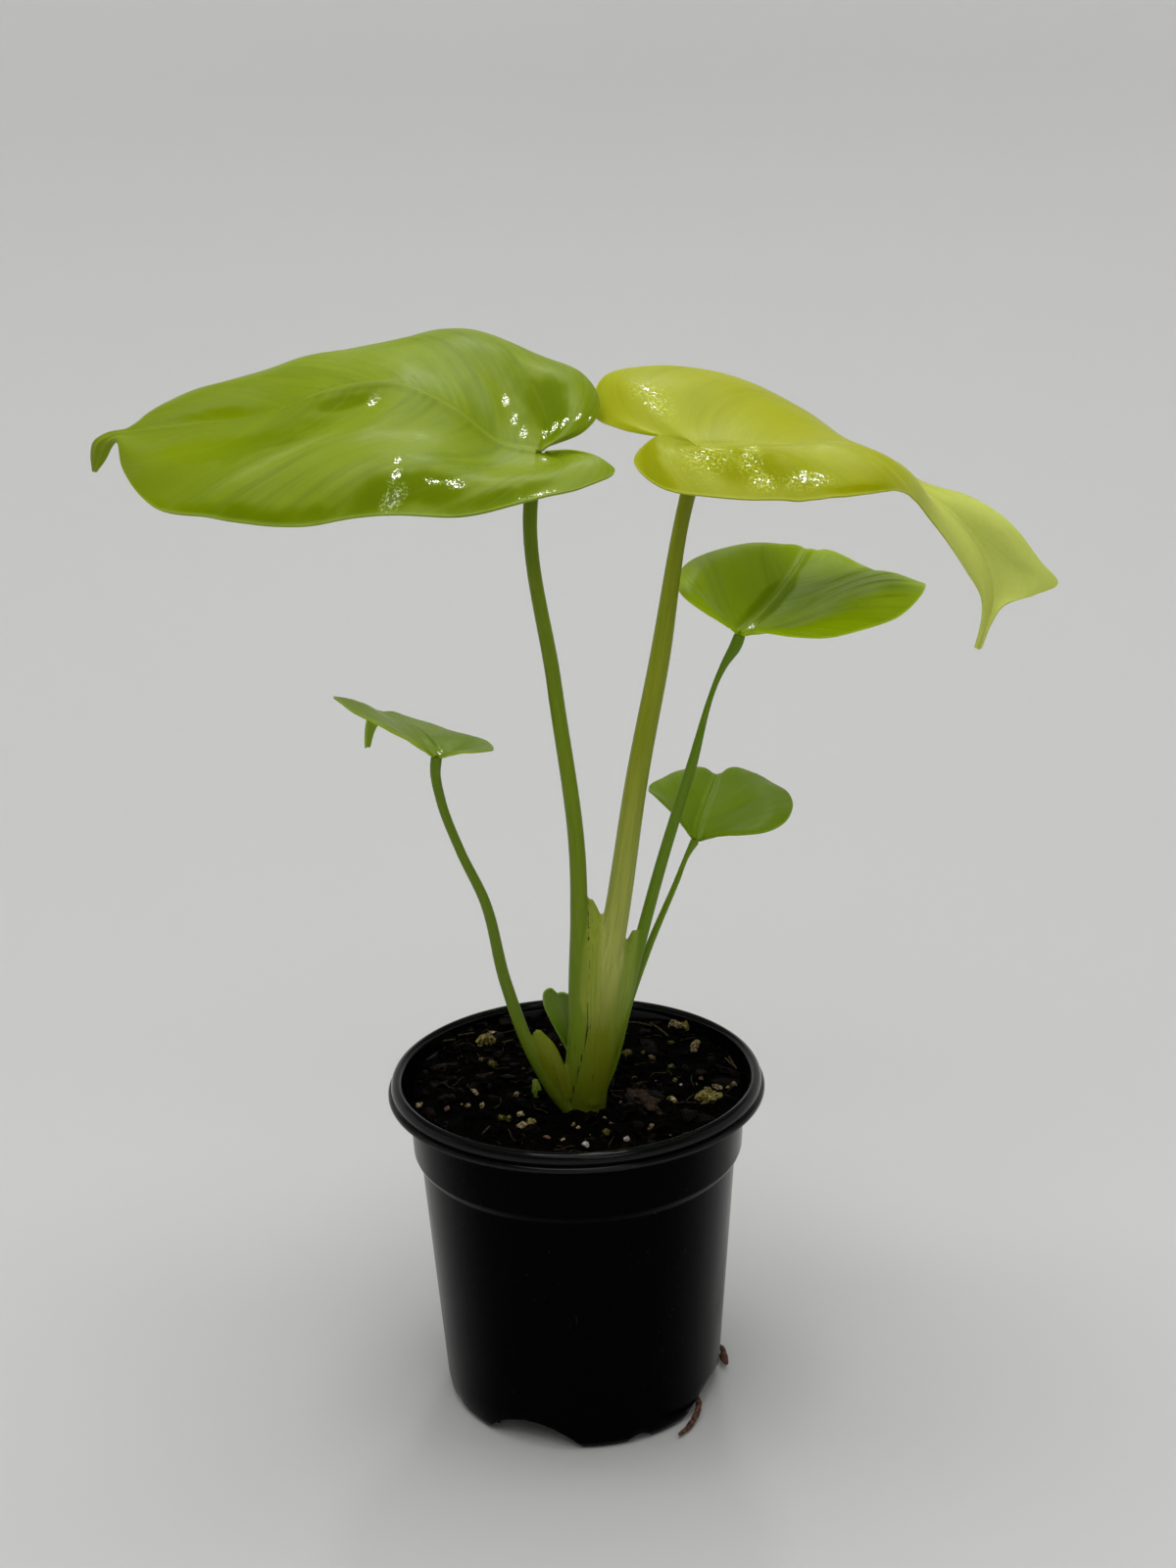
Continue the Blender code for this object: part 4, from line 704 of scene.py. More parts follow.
def wet_coat(finish):
    """A clear coat over the wet crinkles, broken into drops and small tilted facets."""
    position = finish.position()
    drops = finish.math("MULTIPLY", finish.noise(position, DROPS), 1.2)
    spots = finish.math("ADD", finish.attribute("wet"), drops)
    finish.set("Coat Weight", finish.remap(spots, 0.98, 1.08))
    ripple = finish.add("TexNoise", {"Vector": position, "Scale": RIPPLES, "Detail": 2.0}).outputs["Color"]
    ripple = finish.vector_math("SUBTRACT", ripple, (0.5, 0.5, 0.5))
    fan = finish.math("MULTIPLY", finish.split(position)[0], FACET_FAN)
    sideways = finish.math("ADD", fan, FACET_LEAN[0])
    lean = finish.add("CombineXYZ", {0: sideways, 1: FACET_LEAN[1], 2: FACET_LEAN[2]}).outputs[0]
    facets = finish.vector_math("ADD", finish.stretch(ripple, FACET_SPREAD), lean)
    finish.set("Coat Normal", finish.vector_math("NORMALIZE", facets))


def leaf_finish(name, colours, gloss, under=False):
    """Leaf skin: its colours, a wax sheen, wet crinkles on top, and light that passes through."""
    sheen = colours[3]
    finish = Finish(name, Subsurface_Weight=0.35, Subsurface_Scale=0.0012, Subsurface_Radius=SKIN_GLOW, IOR=1.45,
                    Specular_IOR_Level=sheen, Coat_Roughness=0.05, Coat_IOR=1.45)
    finish.set("Base Color", leaf_colour(finish, colours, under))
    veins = finish.uv("veins")
    streaks = finish.noise(finish.stretch(veins, STREAKS), 1.0, 3.0)
    fine = finish.noise(finish.stretch(veins, FINE_LINES), 1.0, 3.0)
    finish.set("Roughness", finish.remap(fine, 0.3, 0.75, *(UNDER_GLOSS if under else gloss)))
    finish.relief((streaks, 0.10, 0.0006), (fine, 0.12, 0.0002))
    if not under:
        level = finish.remap(finish.attribute("deep"), 0.0, 0.8, sheen, sheen * 0.12)
        finish.set("Specular IOR Level", level)
        wet_coat(finish)
    return finish.material


def stem_finish():
    """Stalk skin: tinted per stalk, with fine streaks along it, a dark seam and dark flecks near the base."""
    finish = Finish("stem_skin", Subsurface_Weight=0.3, Subsurface_Scale=0.0015, Subsurface_Radius=SKIN_GLOW,
                    IOR=1.43, Specular_IOR_Level=0.3)
    grain = finish.attribute("grain", "Vector")
    tint = finish.attribute("tint", "Color")
    seam = finish.attribute("seam")
    stripes = finish.noise(grain, STEM_STRIPES, 3.0, 0.6)
    fine = finish.noise(grain, STEM_LINES, 2.0)
    dark = finish.mix(0.3, tint, STEM_DARK)
    colour = finish.mix(finish.remap(stripes, 0.32, 0.6), dark, tint)
    colour = finish.mix(finish.remap(fine, 0.5, 0.85, 0.0, 0.14), colour, STEM_PALE)
    height = finish.split(finish.position())[2]
    low = finish.remap(height, SOIL_LEVEL * MM, FLECK_TOP * MM, 1.0, 0.0)
    fleck_noise = finish.noise(finish.stretch(grain, STEM_FLECKS), 1.0, 3.0, 0.6)
    lift = finish.math("ADD", finish.math("MULTIPLY", low, 0.06), finish.math("MULTIPLY", seam, 0.21))
    flecks = finish.remap(finish.math("ADD", fleck_noise, lift), 0.70, 0.73)
    near = finish.math("MAXIMUM", finish.remap(low, 0.0, 0.3), seam)
    colour = finish.mix(finish.math("MULTIPLY", flecks, near), colour, FLECK_COLOUR)
    finish.set("Base Color", colour)
    finish.set("Roughness", finish.remap(stripes, 0.3, 0.7, 0.32, 0.46))
    finish.relief((stripes, 0.15, 0.0003), (fine, 0.12, 0.0001))
    return finish.material


def grain_finish(name, colours, roughness=0.85, gloss=0.15):
    """Broken mineral or bark grain: mottled, pitted, with painted shade in its hollows."""
    light, dark = colours
    finish = Finish(name, Roughness=roughness, Specular_IOR_Level=gloss)
    position = finish.position()
    mottle = finish.noise(position, GRAIN_MOTTLE, 4.0, 0.65)
    pit_relief_and_shade = finish.cells(position, GRAIN_PITS)
    colour = finish.mix(finish.remap(mottle, 0.36, 0.64), dark, light)
    # Painted shade: the hollows turn to the dark colour.
    colour = finish.mix(finish.remap(pit_relief_and_shade, 0.1, 0.35, 0.6, 0.0), colour, dark)
    finish.set("Base Color", colour)
    finish.relief((mottle, 0.6, 0.0006), (pit_relief_and_shade, 0.4, 0.0003))
    return finish.material


def soil_finish(settings):
    """Wet peat, dull and almost black, with broad and fine lumps."""
    finish = Finish("peat", Specular_IOR_Level=0.02)
    position = finish.position()
    broad = finish.noise(position, PEAT_LUMPS, 4.0)
    fine = finish.noise(position, PEAT_CRUMBLE, 4.0, 0.7)
    colour = finish.mix(finish.remap(fine, 0.4, 0.75), tuple(settings.peat_colour), PEAT_PALE)
    colour = finish.mix(finish.remap(broad, 0.55, 0.75, 0.0, 0.5), colour, PEAT_BROWN)
    finish.set("Base Color", colour)
    finish.set("Roughness", finish.remap(fine, 0.3, 0.7, 0.6, 0.95))
    finish.relief((fine, 0.9, 0.0012), (broad, 0.5, 0.002))
    return finish.material


def root_finish(settings):
    """Dry brown root, mottled and cracked."""
    finish = Finish("root_bark", Roughness=0.75, Specular_IOR_Level=0.3)
    bark = finish.noise(finish.position(), ROOT_CRACKS, 4.0, 0.65)
    finish.set("Base Color", finish.mix(finish.remap(bark, 0.35, 0.65), ROOT_DARK, tuple(settings.root_colour)))
    finish.relief((bark, 0.7, 0.0006))
    return finish.material


def floor_finish(settings):
    """Matte pale floor paper, with painted shade for a dark room up the wall on the viewer's side and at its top."""
    finish = Finish("floor_paper", Roughness=0.9, Specular_IOR_Level=0.2)
    position = finish.position()
    soft = finish.remap(finish.noise(position, 3.0, 3.0), 0.3, 0.7, 0.0, 0.06)
    paper = finish.mix(soft, tuple(settings.floor_colour), FLOOR_SHADE)
    _, depth, height = finish.split(position)
    # Painted shade: the paper turns to the dark room colour on the viewer's side, up the wall and at its top.
    painted_room_shade = finish.math("MULTIPLY", finish.remap(depth, *ROOM_DEPTHS), finish.remap(height, *ROOM_HEIGHTS))
    painted_room_shade = finish.math("MAXIMUM", painted_room_shade, finish.remap(height, *TOP_HEIGHTS))
    finish.set("Base Color", finish.mix(painted_room_shade, paper, tuple(settings.painted_room_shade_colour)))
    return finish.material


def turned(name, profile, steps):
    """A solid turned about Z from radius, height points that start and end on the axis."""
    points = [(radius, 0.0, height) for radius, height in profile]
    edges = [(i, i + 1) for i in range(len(points) - 1)]
    mesh = bpy.data.meshes.new(name)
    mesh.from_pydata([Vector(p) * MM for p in points], edges, [])
    obj = new_object(name, mesh)
    screw = obj.modifiers.new("Turn", "SCREW")
    screw.steps = steps
    screw.render_steps = steps
    screw.use_merge_vertices = True
    screw.merge_threshold = MERGE_DISTANCE
    screw.use_normal_calculate = True
    apply_modifiers(obj)
    return obj


def arch(width, height, angle):
    """A rod that cuts an arch of this width and height into the bottom edge of the pot."""
    radius = (width ** 2 / 4 + height ** 2) / (2 * height)
    bpy.ops.mesh.primitive_cylinder_add(vertices=CUTTER_SIDES, radius=radius * MM, depth=CUTTER_LENGTH * MM)
    obj = bpy.context.object
    reach = Matrix.Translation(Vector((FOOT_RADIUS, 0.0, height - radius)) * MM)
    swing = Matrix.Rotation(math.radians(angle), 4, "Z")
    obj.data.transform(swing @ reach @ Matrix.Rotation(math.pi / 2, 4, "Y"))
    return obj


def rounded(points, count):
    """The same route of radius, height points as a smooth one with this many points."""
    curve = smooth_curve([(radius, 0.0, height) for radius, height in points])
    return [(radius, height) for radius, _, height in read_curve(curve, np.linspace(0, 1, count))]


def make_pot(settings):
    """The pot, turned and cut as its solid is, with a rounder rim and softened edges."""
    inside = [(0.0, INNER_WALL[0][1])] + INNER_WALL[:-1]
    pot = turned("pot_shell", inside + rounded(BEAD, BEAD_POINTS) + RING + OUTER_WALL + FOOT, settings.pot_steps)
    cutters = []
    for index in range(NOTCH_COUNT):
        for first, width, height in (DRAIN_ARCH, SMALL_ARCH):
            cutters.append(arch(width, height, first + index * 360.0 / NOTCH_COUNT))
    cutter = join("drain_cutter", cutters)
    cut = pot.modifiers.new("Drains", "BOOLEAN")
    cut.operation = "DIFFERENCE"
    cut.object = cutter
    cut.solver = "EXACT"
    apply_modifiers(pot)
    bpy.data.objects.remove(cutter)
    bevel = pot.modifiers.new("Soft edges", "BEVEL")
    bevel.width = settings.edge_rounding
    bevel.segments = BEVEL_SEGMENTS
    bevel.limit_method = "ANGLE"
    bevel.angle_limit = math.radians(BEVEL_ANGLE)
    bevel.use_clamp_overlap = True
    apply_modifiers(pot)
    dress(pot, pot_finish(settings), POT_CREASE, "pot", "pot")


def soil_height(x, y):
    """Height of the potting mix, bumpy and a little higher at the back."""
    bumps = np.sin(0.43 * x + 0.9) * np.cos(0.37 * y - 0.4) + 0.6 * np.sin(0.21 * x - 0.33 * y + 2.0)
    return SOIL_LEVEL + SOIL_RISE_TO_BACK * y + 0.5 * bumps


def wall_radius(height):
    """Inside radius of the pot at a height."""
    return np.interp(height, [z for _, z in INNER_WALL], [radius for radius, _ in INNER_WALL])


def make_peat(settings):
    """The bed of the potting mix: one closed body whose top is rough."""
    rings = settings.soil_rings
    top = [(SOIL_EDGE * i / rings, SOIL_LEVEL) for i in range(rings + 1)]
    wall = [(radius - SOIL_WALL_GAP, height) for radius, height in INNER_WALL[1:4]][::-1]
    foot = [(float(wall_radius(SOIL_FOOT_HEIGHT)) - SOIL_WALL_GAP, SOIL_FOOT_HEIGHT),
            (SOIL_BOTTOM_RADIUS, SOIL_BOTTOM), (0.0, SOIL_BOTTOM)]
    peat = turned("peat_bed", top + wall + foot, settings.soil_steps)
    places = vertex_places(peat)
    on_top = places[:, 2] > SOIL_LEVEL - 0.05
    x, y, z = places[on_top].T
    radius = np.hypot(x, y)
    inside = np.clip((SOIL_EDGE - radius) / EDGE_EASE, 0.0, 1.0)
    flat = np.stack([x, y, np.zeros_like(x)], axis=-1)
    rough = LUMP_HEIGHT * noise_values(flat, LUMP_SIZE, 1.0, 4)
    rough += CRUMBLE_HEIGHT * np.abs(noise_values(flat, CRUMBLE_SIZE, 2.0, 3))
    height = soil_height(x, y) + rough * (EDGE_ROUGHNESS + (1 - EDGE_ROUGHNESS) * inside) - BED_DROP
    limit = wall_radius(height) - SOIL_WALL_GAP
    scale = np.where(radius > SOIL_EDGE - 0.1, limit / np.maximum(radius, 1.0), 1.0)
    places[on_top] = np.stack([x * scale, y * scale, height], axis=-1)
    move_vertices(peat, places)
    dress(peat, soil_finish(settings), NO_CREASE, "soil", "potting_mix")


def broken_form(draw, level):
    """A lumpy, slightly angular ball of unit size, as points and triangles."""
    form = bmesh.new()
    bmesh.ops.create_icosphere(form, subdivisions=level, radius=0.5)
    shift = Vector([draw.uniform(-FORM_SHIFT, FORM_SHIFT) for _ in range(3)])
    points = []
    for vertex in form.verts:
        swell = 1.0
        for strength, rate in FORM_SWELLS:
            swell += strength * noise.noise(vertex.co * rate + shift)
        points.append(tuple(vertex.co * swell))
    faces = [tuple(vertex.index for vertex in face.verts) for face in form.faces]
    form.free()
    return np.array(points), faces


def grain_matrix(draw, length, width, height, turn, tilt):
    """Sizes and turns a grain."""
    turn_matrix = Matrix.Rotation(turn, 3, "Z") @ Matrix.Rotation(tilt, 3, "X")
    turn_matrix = turn_matrix @ Matrix.Rotation(draw.uniform(-GRAIN_ROLL, GRAIN_ROLL), 3, "Y")
    return np.array(turn_matrix) @ np.diag((length, width, height))


def grain_object(name, grains, forms, draw, material):
    """Fuses grains given as x, y, length, width, height, turn, and a sink share, into one piece."""
    vertices, faces = [], []
    count = 0
    for x, y, length, width, height, turn, sink in grains:
        points, triangles = forms[draw.randrange(len(forms))]
        matrix = grain_matrix(draw, length, width, height, turn, draw.uniform(-GRAIN_TILT, GRAIN_TILT))
        moved = points @ matrix.T + (x, y, float(soil_height(x, y)) + height * (0.5 - sink))
        reach = np.hypot(moved[:, 0], moved[:, 1])
        limit = wall_radius(moved[:, 2]) - GRAIN_WALL_GAP
        moved[:, :2] *= np.minimum(1.0, limit / np.maximum(reach, 1.0))[:, None]
        vertices.append(moved)
        faces += [tuple(index + count for index in triangle) for triangle in triangles]
        count += len(points)
    dress(mesh_object(name, np.vstack(vertices), faces), material, GRAIN_CREASE, "soil")


def strewn(draw, count, smallest, largest, flatness, sink):
    """Random grains all over the mix, clear of the plant."""
    grains = []
    while len(grains) < count:
        radius, angle = STREWN_RADIUS * math.sqrt(draw.random()), draw.uniform(0, math.tau)
        spot = (radius * math.cos(angle), radius * math.sin(angle))
        away = math.hypot(*((value - middle) / half
                            for value, middle, half in zip(spot, PLANT_CENTRE, PLANT_HALF_SIZE)))
        if away > 1.0:
            size = smallest + (largest - smallest) * draw.random() ** SMALL_BIAS
            length = size * draw.uniform(*GRAIN_LENGTHS)
            grains.append((*spot, length, size, size * flatness, draw.uniform(0, math.pi), sink))
    return grains


def fibre_route(draw):
    """A random wandering route on the mix, as x, y, z, radius points."""
    radius, angle = FIBRE_START * math.sqrt(draw.random()), draw.uniform(0, math.tau)
    x, y, heading = radius * math.cos(angle), radius * math.sin(angle), draw.uniform(0, math.tau)
    points = []
    for _ in range(FIBRE_POINTS):
        inside = min(1.0, FIBRE_LIMIT / max(math.hypot(x, y), 1.0))
        height = float(soil_height(x, y)) + draw.uniform(*FIBRE_HEIGHTS)
        points.append((x * inside, y * inside, height, FIBRE_RADIUS))
        heading += draw.uniform(-FIBRE_BEND, FIBRE_BEND)
        x += FIBRE_STEP * math.cos(heading)
        y += FIBRE_STEP * math.sin(heading)
    return points


def make_grains(settings):
    """Loose crumbs, bark chips, mineral grains, twigs and fibres on the bed."""
    draw = random.Random(settings.seed)
    small, fine, middle = [[broken_form(draw, level) for _ in range(count)] for level, count in FORMS]
    crumbs = grain_finish("dark_crumb", CRUMB_COLOURS, 0.8, 0.02)
    chips = grain_finish("bark_chip", CHIP_COLOURS, 0.5, 0.03)
    grain_object("peat_crumbs", strewn(draw, settings.crumbs, *CRUMB_SIZES), small, draw, crumbs)
    grain_object("bark_chips", strewn(draw, settings.chips, *CHIP_SIZES), middle, draw, chips)
    for kind, colours in GRAIN_COLOURS.items():
        marked = [(*grain[:6], GRAIN_SINK) for grain in MARKED_GRAINS if grain[6] == kind]
        extra = strewn(draw, settings.specks, *SPECK_SIZES)
        forms = fine if kind in ("pumice", "bark") else middle
        grain_object("grains_" + kind, marked + extra, forms, draw, grain_finish("grain_" + kind, colours))
    threads = []
    for route in TWIGS:
        points = [(x, y, float(soil_height(x, y)) + TWIG_LIFT, TWIG_RADIUS) for x, y in route]
        threads.append(tube("twig", points, *TWIG_MESH))
    for _ in range(settings.fibres):
        threads.append(tube("fibre", fibre_route(draw), *FIBRE_MESH))
    dress(join("mix_fibres", threads), grain_finish("fibre", FIBRE_COLOURS), ROD_CREASE, "soil")


def blade_rows(blade):
    """Each row's share of the margins, and the share of the rib where it starts."""
    lobe_rows, tip_rows = blade["rows"]
    lobe = blade["lobe"]
    in_lobe, after = np.linspace(0, lobe, lobe_rows + 1), np.linspace(lobe, 1, tip_rows + 1)
    margin_rows = np.concatenate([in_lobe, after[1:]])
    lengths = [smooth_curve(blade[side])[1][-1] for side in ("left", "right", "rib")]
    power = (1 - lobe) * (lengths[0] + lengths[1]) / 2 / lengths[2]
    rib_rows = np.clip((margin_rows - lobe) / (1 - lobe), 0, 1) ** max(1.0, power)
    return margin_rows, rib_rows


def blade_normals(blade, margin_rows, rib_rows):
    """The upward direction of a blade at each row."""
    rib = smooth_curve(blade["rib"])
    ahead, behind = np.minimum(rib_rows + 0.03, 1), np.maximum(rib_rows - 0.03, 0)
    along = read_curve(rib, ahead) - read_curve(rib, behind)
    rows = np.maximum(margin_rows, blade["lobe"])
    left, right = smooth_curve(blade["left"]), smooth_curve(blade["right"])
    across = read_curve(right, rows) - read_curve(left, rows)
    normals = np.cross(across, along)
    return normals / np.linalg.norm(normals, axis=1)[:, None]


def bell(value, centre, width):
    """One at a centre, falling softly to nothing on both sides."""
    return np.exp(-((value - centre) / width) ** 2)


def swept(along, across):
    """Share along the margin where the vein through a point would start from the rib."""
    return along - VEIN_LEAN * across ** VEIN_BEND


def blade_relief(blade, side, rows, shares, widths, places, seed):
    """How far points of a half blade stand off its plain form, and their vein, wetness, painted shade and painted
    sheen.
    """
    distance = shares * widths
    sweep = swept(rows, shares)
    phase = sweep * blade["veins"] / VEIN_SPAN + VEIN_STEP * side
    ridge = np.abs(phase - np.round(phase)) * 2
    middle = np.clip(distance / VEIN_EASE, 0, 1) * np.clip((1 - shares) * 5, 0, 1)
    offset = blade["vein_relief"] * (np.sin(math.pi * ridge / 2) - 0.6) * middle
    towards_tip = np.clip(1.1 - rows, 0, 1)
    lines = np.maximum(0.5 * bell(ridge, 0, VEIN_LINE) * middle, bell(distance, 0.0, RIB_LINE) * towards_tip)
    ridge_height, ridge_width = RIB_RIDGE
    groove_depth, groove_place, groove_width = RIB_GROOVE
    rib = ridge_height * bell(distance, 0.0, ridge_width)
    offset += (rib - groove_depth * bell(distance, groove_place, groove_width)) * towards_tip
    for half, along, across, length, breadth, height in blade["folds"]:
        if half == side:
            offset += height * bell(sweep, swept(along, across), length) * bell(shares, across, breadth)
    flat = places.reshape(-1, 3)
    broad = noise_values(flat, BROAD_SIZE, seed, 2).reshape(distance.shape)
    offset += blade["wobble"] * broad * np.clip(distance / BROAD_EASE, 0, 1)
    wet = np.zeros_like(distance)
    rough = noise_values(flat, WRINKLE, seed + 3, 2).reshape(distance.shape)
    rough *= np.clip(distance / WRINKLE_EASE, 0, 1)
    for half, along, across, length, breadth, wetness, height in blade["crinkles"]:
        if half == side:
            mask = bell(rows, along, length) * bell(shares, across, breadth)
            offset += height * rough * mask
            wet = np.maximum(wet, wetness * mask)
    # Zones of painted shade (darker colour, less sheen) and of painted sheen (paler colour), broken up by blotches.
    deep, pale = np.zeros_like(distance), np.zeros_like(distance)
    blotch = BLOTCH_STRENGTH * noise_values(flat, BLOTCH_SIZE, seed + 6, 3).reshape(distance.shape)
    for half, along, across, length, breadth, amount in blade["deep"]:
        if half == side:
            painted_zone = amount * bell(sweep, swept(along, across), length) * bell(shares, across, breadth)
            deep, pale = np.maximum(deep, painted_zone), np.maximum(pale, -painted_zone)
    deep = np.clip((deep + blotch * deep ** 0.5 - 0.15) * 1.6, 0, 1)
    pale = np.clip(pale + blotch * pale ** 0.5, 0, 1)
    return offset, lines, wet, deep - pale * (1 - deep)


def blade_sheet(name, blade, seed):
    """The middle surface of a blade, in rows that fan from the stalk in the lobes and then leave the rib."""
    margin_rows, rib_rows = blade_rows(blade)
    normals = blade_normals(blade, margin_rows, rib_rows)
    starts = read_curve(smooth_curve(blade["rib"]), rib_rows)
    columns = blade["columns"]
    lobe_rows = blade["rows"][0]
    on_rib = margin_rows[lobe_rows:]
    none = np.zeros(len(on_rib))
    vertices = [starts[lobe_rows:]]
    values = {"vein_line": [np.ones(len(on_rib))], "wet": [none], "deep": [none], "distance": [none]}
    maps = {"veins": [np.stack([on_rib * 100, none], axis=-1)], "shares": [np.stack([on_rib, none], axis=-1)]}
    faces = []
    count = len(on_rib)
    t = np.arange(1, columns + 1) / columns
    for side, turn in ((0, 1), (1, -1)):
        curve = smooth_curve(blade[("left", "right")[side]])
        margin = read_curve(curve, margin_rows)
        spans = margin - starts
        widths = np.linalg.norm(spans, axis=1)[:, None]
        bulge = blade["lift"][side] * np.sin(math.pi * t) - blade["dip"][side] * np.sin(math.tau * t)
        ripple = blade["wave"] * np.sin(math.tau * WAVES * margin_rows + side)[:, None] * t * t
        plain = starts[:, None] + t[None, :, None] * spans[:, None]
        plain = plain + (widths * (bulge[None] + ripple))[..., None] * normals[:, None]
        rows = np.repeat(margin_rows[:, None], columns, axis=1)
        shares = np.repeat(t[None], len(margin_rows), axis=0)
        offset, lines, wet, deep = blade_relief(blade, side, rows, shares, widths, plain, seed + side)
        fade = np.clip(widths / 4.0, 0, 1)
        placed = plain + (offset * fade)[..., None] * normals[:, None]
        vertices.append(placed.reshape(-1, 3))
        distance = shares * widths
        for key, found in zip(values, (lines, wet, deep, distance)):
            values[key].append(found.ravel())
        sweep = swept(rows, shares) * curve[1][-1]
        for key, pair in zip(maps, ((sweep, (-1, 1)[side] * distance), (rows, shares))):
            maps[key].append(np.stack(pair, axis=-1).reshape(-1, 2))

        def vertex(row, column):
            if column == 0:
                return max(0, row - lobe_rows)
            return count + row * columns + column - 1

        for row in range(len(margin_rows) - 1):
            for column in range(columns):
                corners = (vertex(row, column), vertex(row + 1, column),
                           vertex(row + 1, column + 1), vertex(row, column + 1))[::turn]
                face = tuple(dict.fromkeys(corners))
                if len(face) > 2:
                    faces.append(face)
        count += len(margin_rows) * columns
    obj = mesh_object(name, np.vstack(vertices), faces)
    corners = np.array([loop.vertex_index for loop in obj.data.loops])
    for key, parts in maps.items():
        layer = obj.data.uv_layers.new(name=key)
        layer.data.foreach_set("uv", np.vstack(parts)[corners].astype(np.float32).ravel())
    rib_distance = np.concatenate(values.pop("distance"))
    for key, parts in values.items():
        add_attribute(obj, key, "FLOAT", np.concatenate(parts))
    along = np.concatenate([on_rib, *[np.repeat(margin_rows, columns)] * 2])
    return obj, rib_distance, along


def tinted(colour, tint):
    """A colour multiplied by a tint."""
    return tuple(value * share for value, share in zip(colour, tint))


def make_blade(name, blade, colours, gloss, settings, seed, slot, node):
    """A leaf blade with its thickness, a rib that swells below, and a paler underside."""
    colours = [tinted(colour, settings.leaf_tint) for colour in colours[:3]] + list(colours[3:])
    obj, rib_distance, along = blade_sheet(name, blade, seed)
    top = len(obj.data.vertices)
    solidify = obj.modifiers.new("Thickness", "SOLIDIFY")
    solidify.thickness = settings.blade_thickness
    solidify.offset = 0.0
    solidify.material_offset = 1
    solidify.material_offset_rim = 0
    obj.data.materials.append(leaf_finish(name + "_top", colours, gloss))
    obj.data.materials.append(leaf_finish(name + "_under", colours, gloss, under=True))
    normals = vertex_normals(obj)
    apply_modifiers(obj)
    places = vertex_places(obj)
    swell = RIB_BELOW[0] * bell(rib_distance, 0.0, RIB_BELOW[1]) * np.clip(1.0 - RIB_TAPER * along, 0, 1)
    facing = np.sign(np.mean(np.sum((places[:top] - places[top:]) * normals, axis=1)))
    lower = slice(top, None) if facing > 0 else slice(0, top)
    places[lower] -= normals * swell[:, None]
    move_vertices(obj, places)
    shade(obj, BLADE_CREASE)
    hand_over(obj, slot, node)


def seat_point(name):
    """Where the middle of a stalk ends, below its blade."""
    blade = BLADES[name]
    normal = blade_normals(blade, *blade_rows(blade))[0]
    return np.array(blade["rib"][0], float) - normal * STALK_DROPS[name]


def flatten_depth(obj, share):
    """Squeezes a mesh towards its middle depth."""
    places = vertex_places(obj)
    middle = (places[:, 1].min() + places[:, 1].max()) / 2
    places[:, 1] = middle + (places[:, 1] - middle) * share
    move_vertices(obj, places)


def axis_offsets(places, rows):
    """For each point, its gap to the rod around this axis, its offset from the axis, and its place along it."""
    lengths = np.concatenate([[0.0], np.cumsum(np.linalg.norm(np.diff(rows[:, :3], axis=0), axis=1))])
    gaps, nearest = [], []
    for block in np.array_split(places, max(1, len(places) // POINTS_AT_ONCE)):
        spans = np.linalg.norm(block[:, None] - rows[None, :, :3], axis=2) - rows[None, :, 3]
        nearest.append(spans.argmin(axis=1))
        gaps.append(spans.min(axis=1))
    nearest = np.concatenate(nearest)
    return np.concatenate(gaps), places - rows[nearest, :3], lengths[nearest]


def stem_tints(height, gaps):
    """Stem colours at vertices of these heights, from their gaps to each stalk and sheath, with painted shade low
    down.
    """
    rise = np.clip((height - RISE_START) / RISE_LENGTH, 0, 1)[:, None]
    shares = np.exp(-(gaps - gaps.min(axis=0)) / BLEND_WIDTH)
    for share, (points, _) in zip(shares[len(STALKS):], SHEATHS):
        share *= np.clip((height - points[0][2]) / SHEATH_EASE, 0.02, 1)
    shares /= shares.sum(axis=0)
    tint = np.zeros((len(height), 3))
    tones = [(*STEM_COLOURS[name], STEM_FADES[name]) for name in STALKS]
    tones += [(colour, colour, SHEATH_FADE) for colour in SHEATH_COLOURS]
    for share, (low, high, end) in zip(shares, tones):
        fade = np.clip((end - height) / BASE_FADE_LENGTH, 0, 1)[:, None]
        own = np.array(low) * (1 - rise) + np.array(high) * rise
        tint += share[:, None] * (own * (1 - fade) + np.array(BASE_COLOUR) * fade)
    # Painted shade: the base darkens towards the mix.
    light = np.clip((height - SHADE_START) / SHADE_LENGTH, 0, 1)[:, None]
    return tint * (SHADE_SHARE + (1 - SHADE_SHARE) * light)


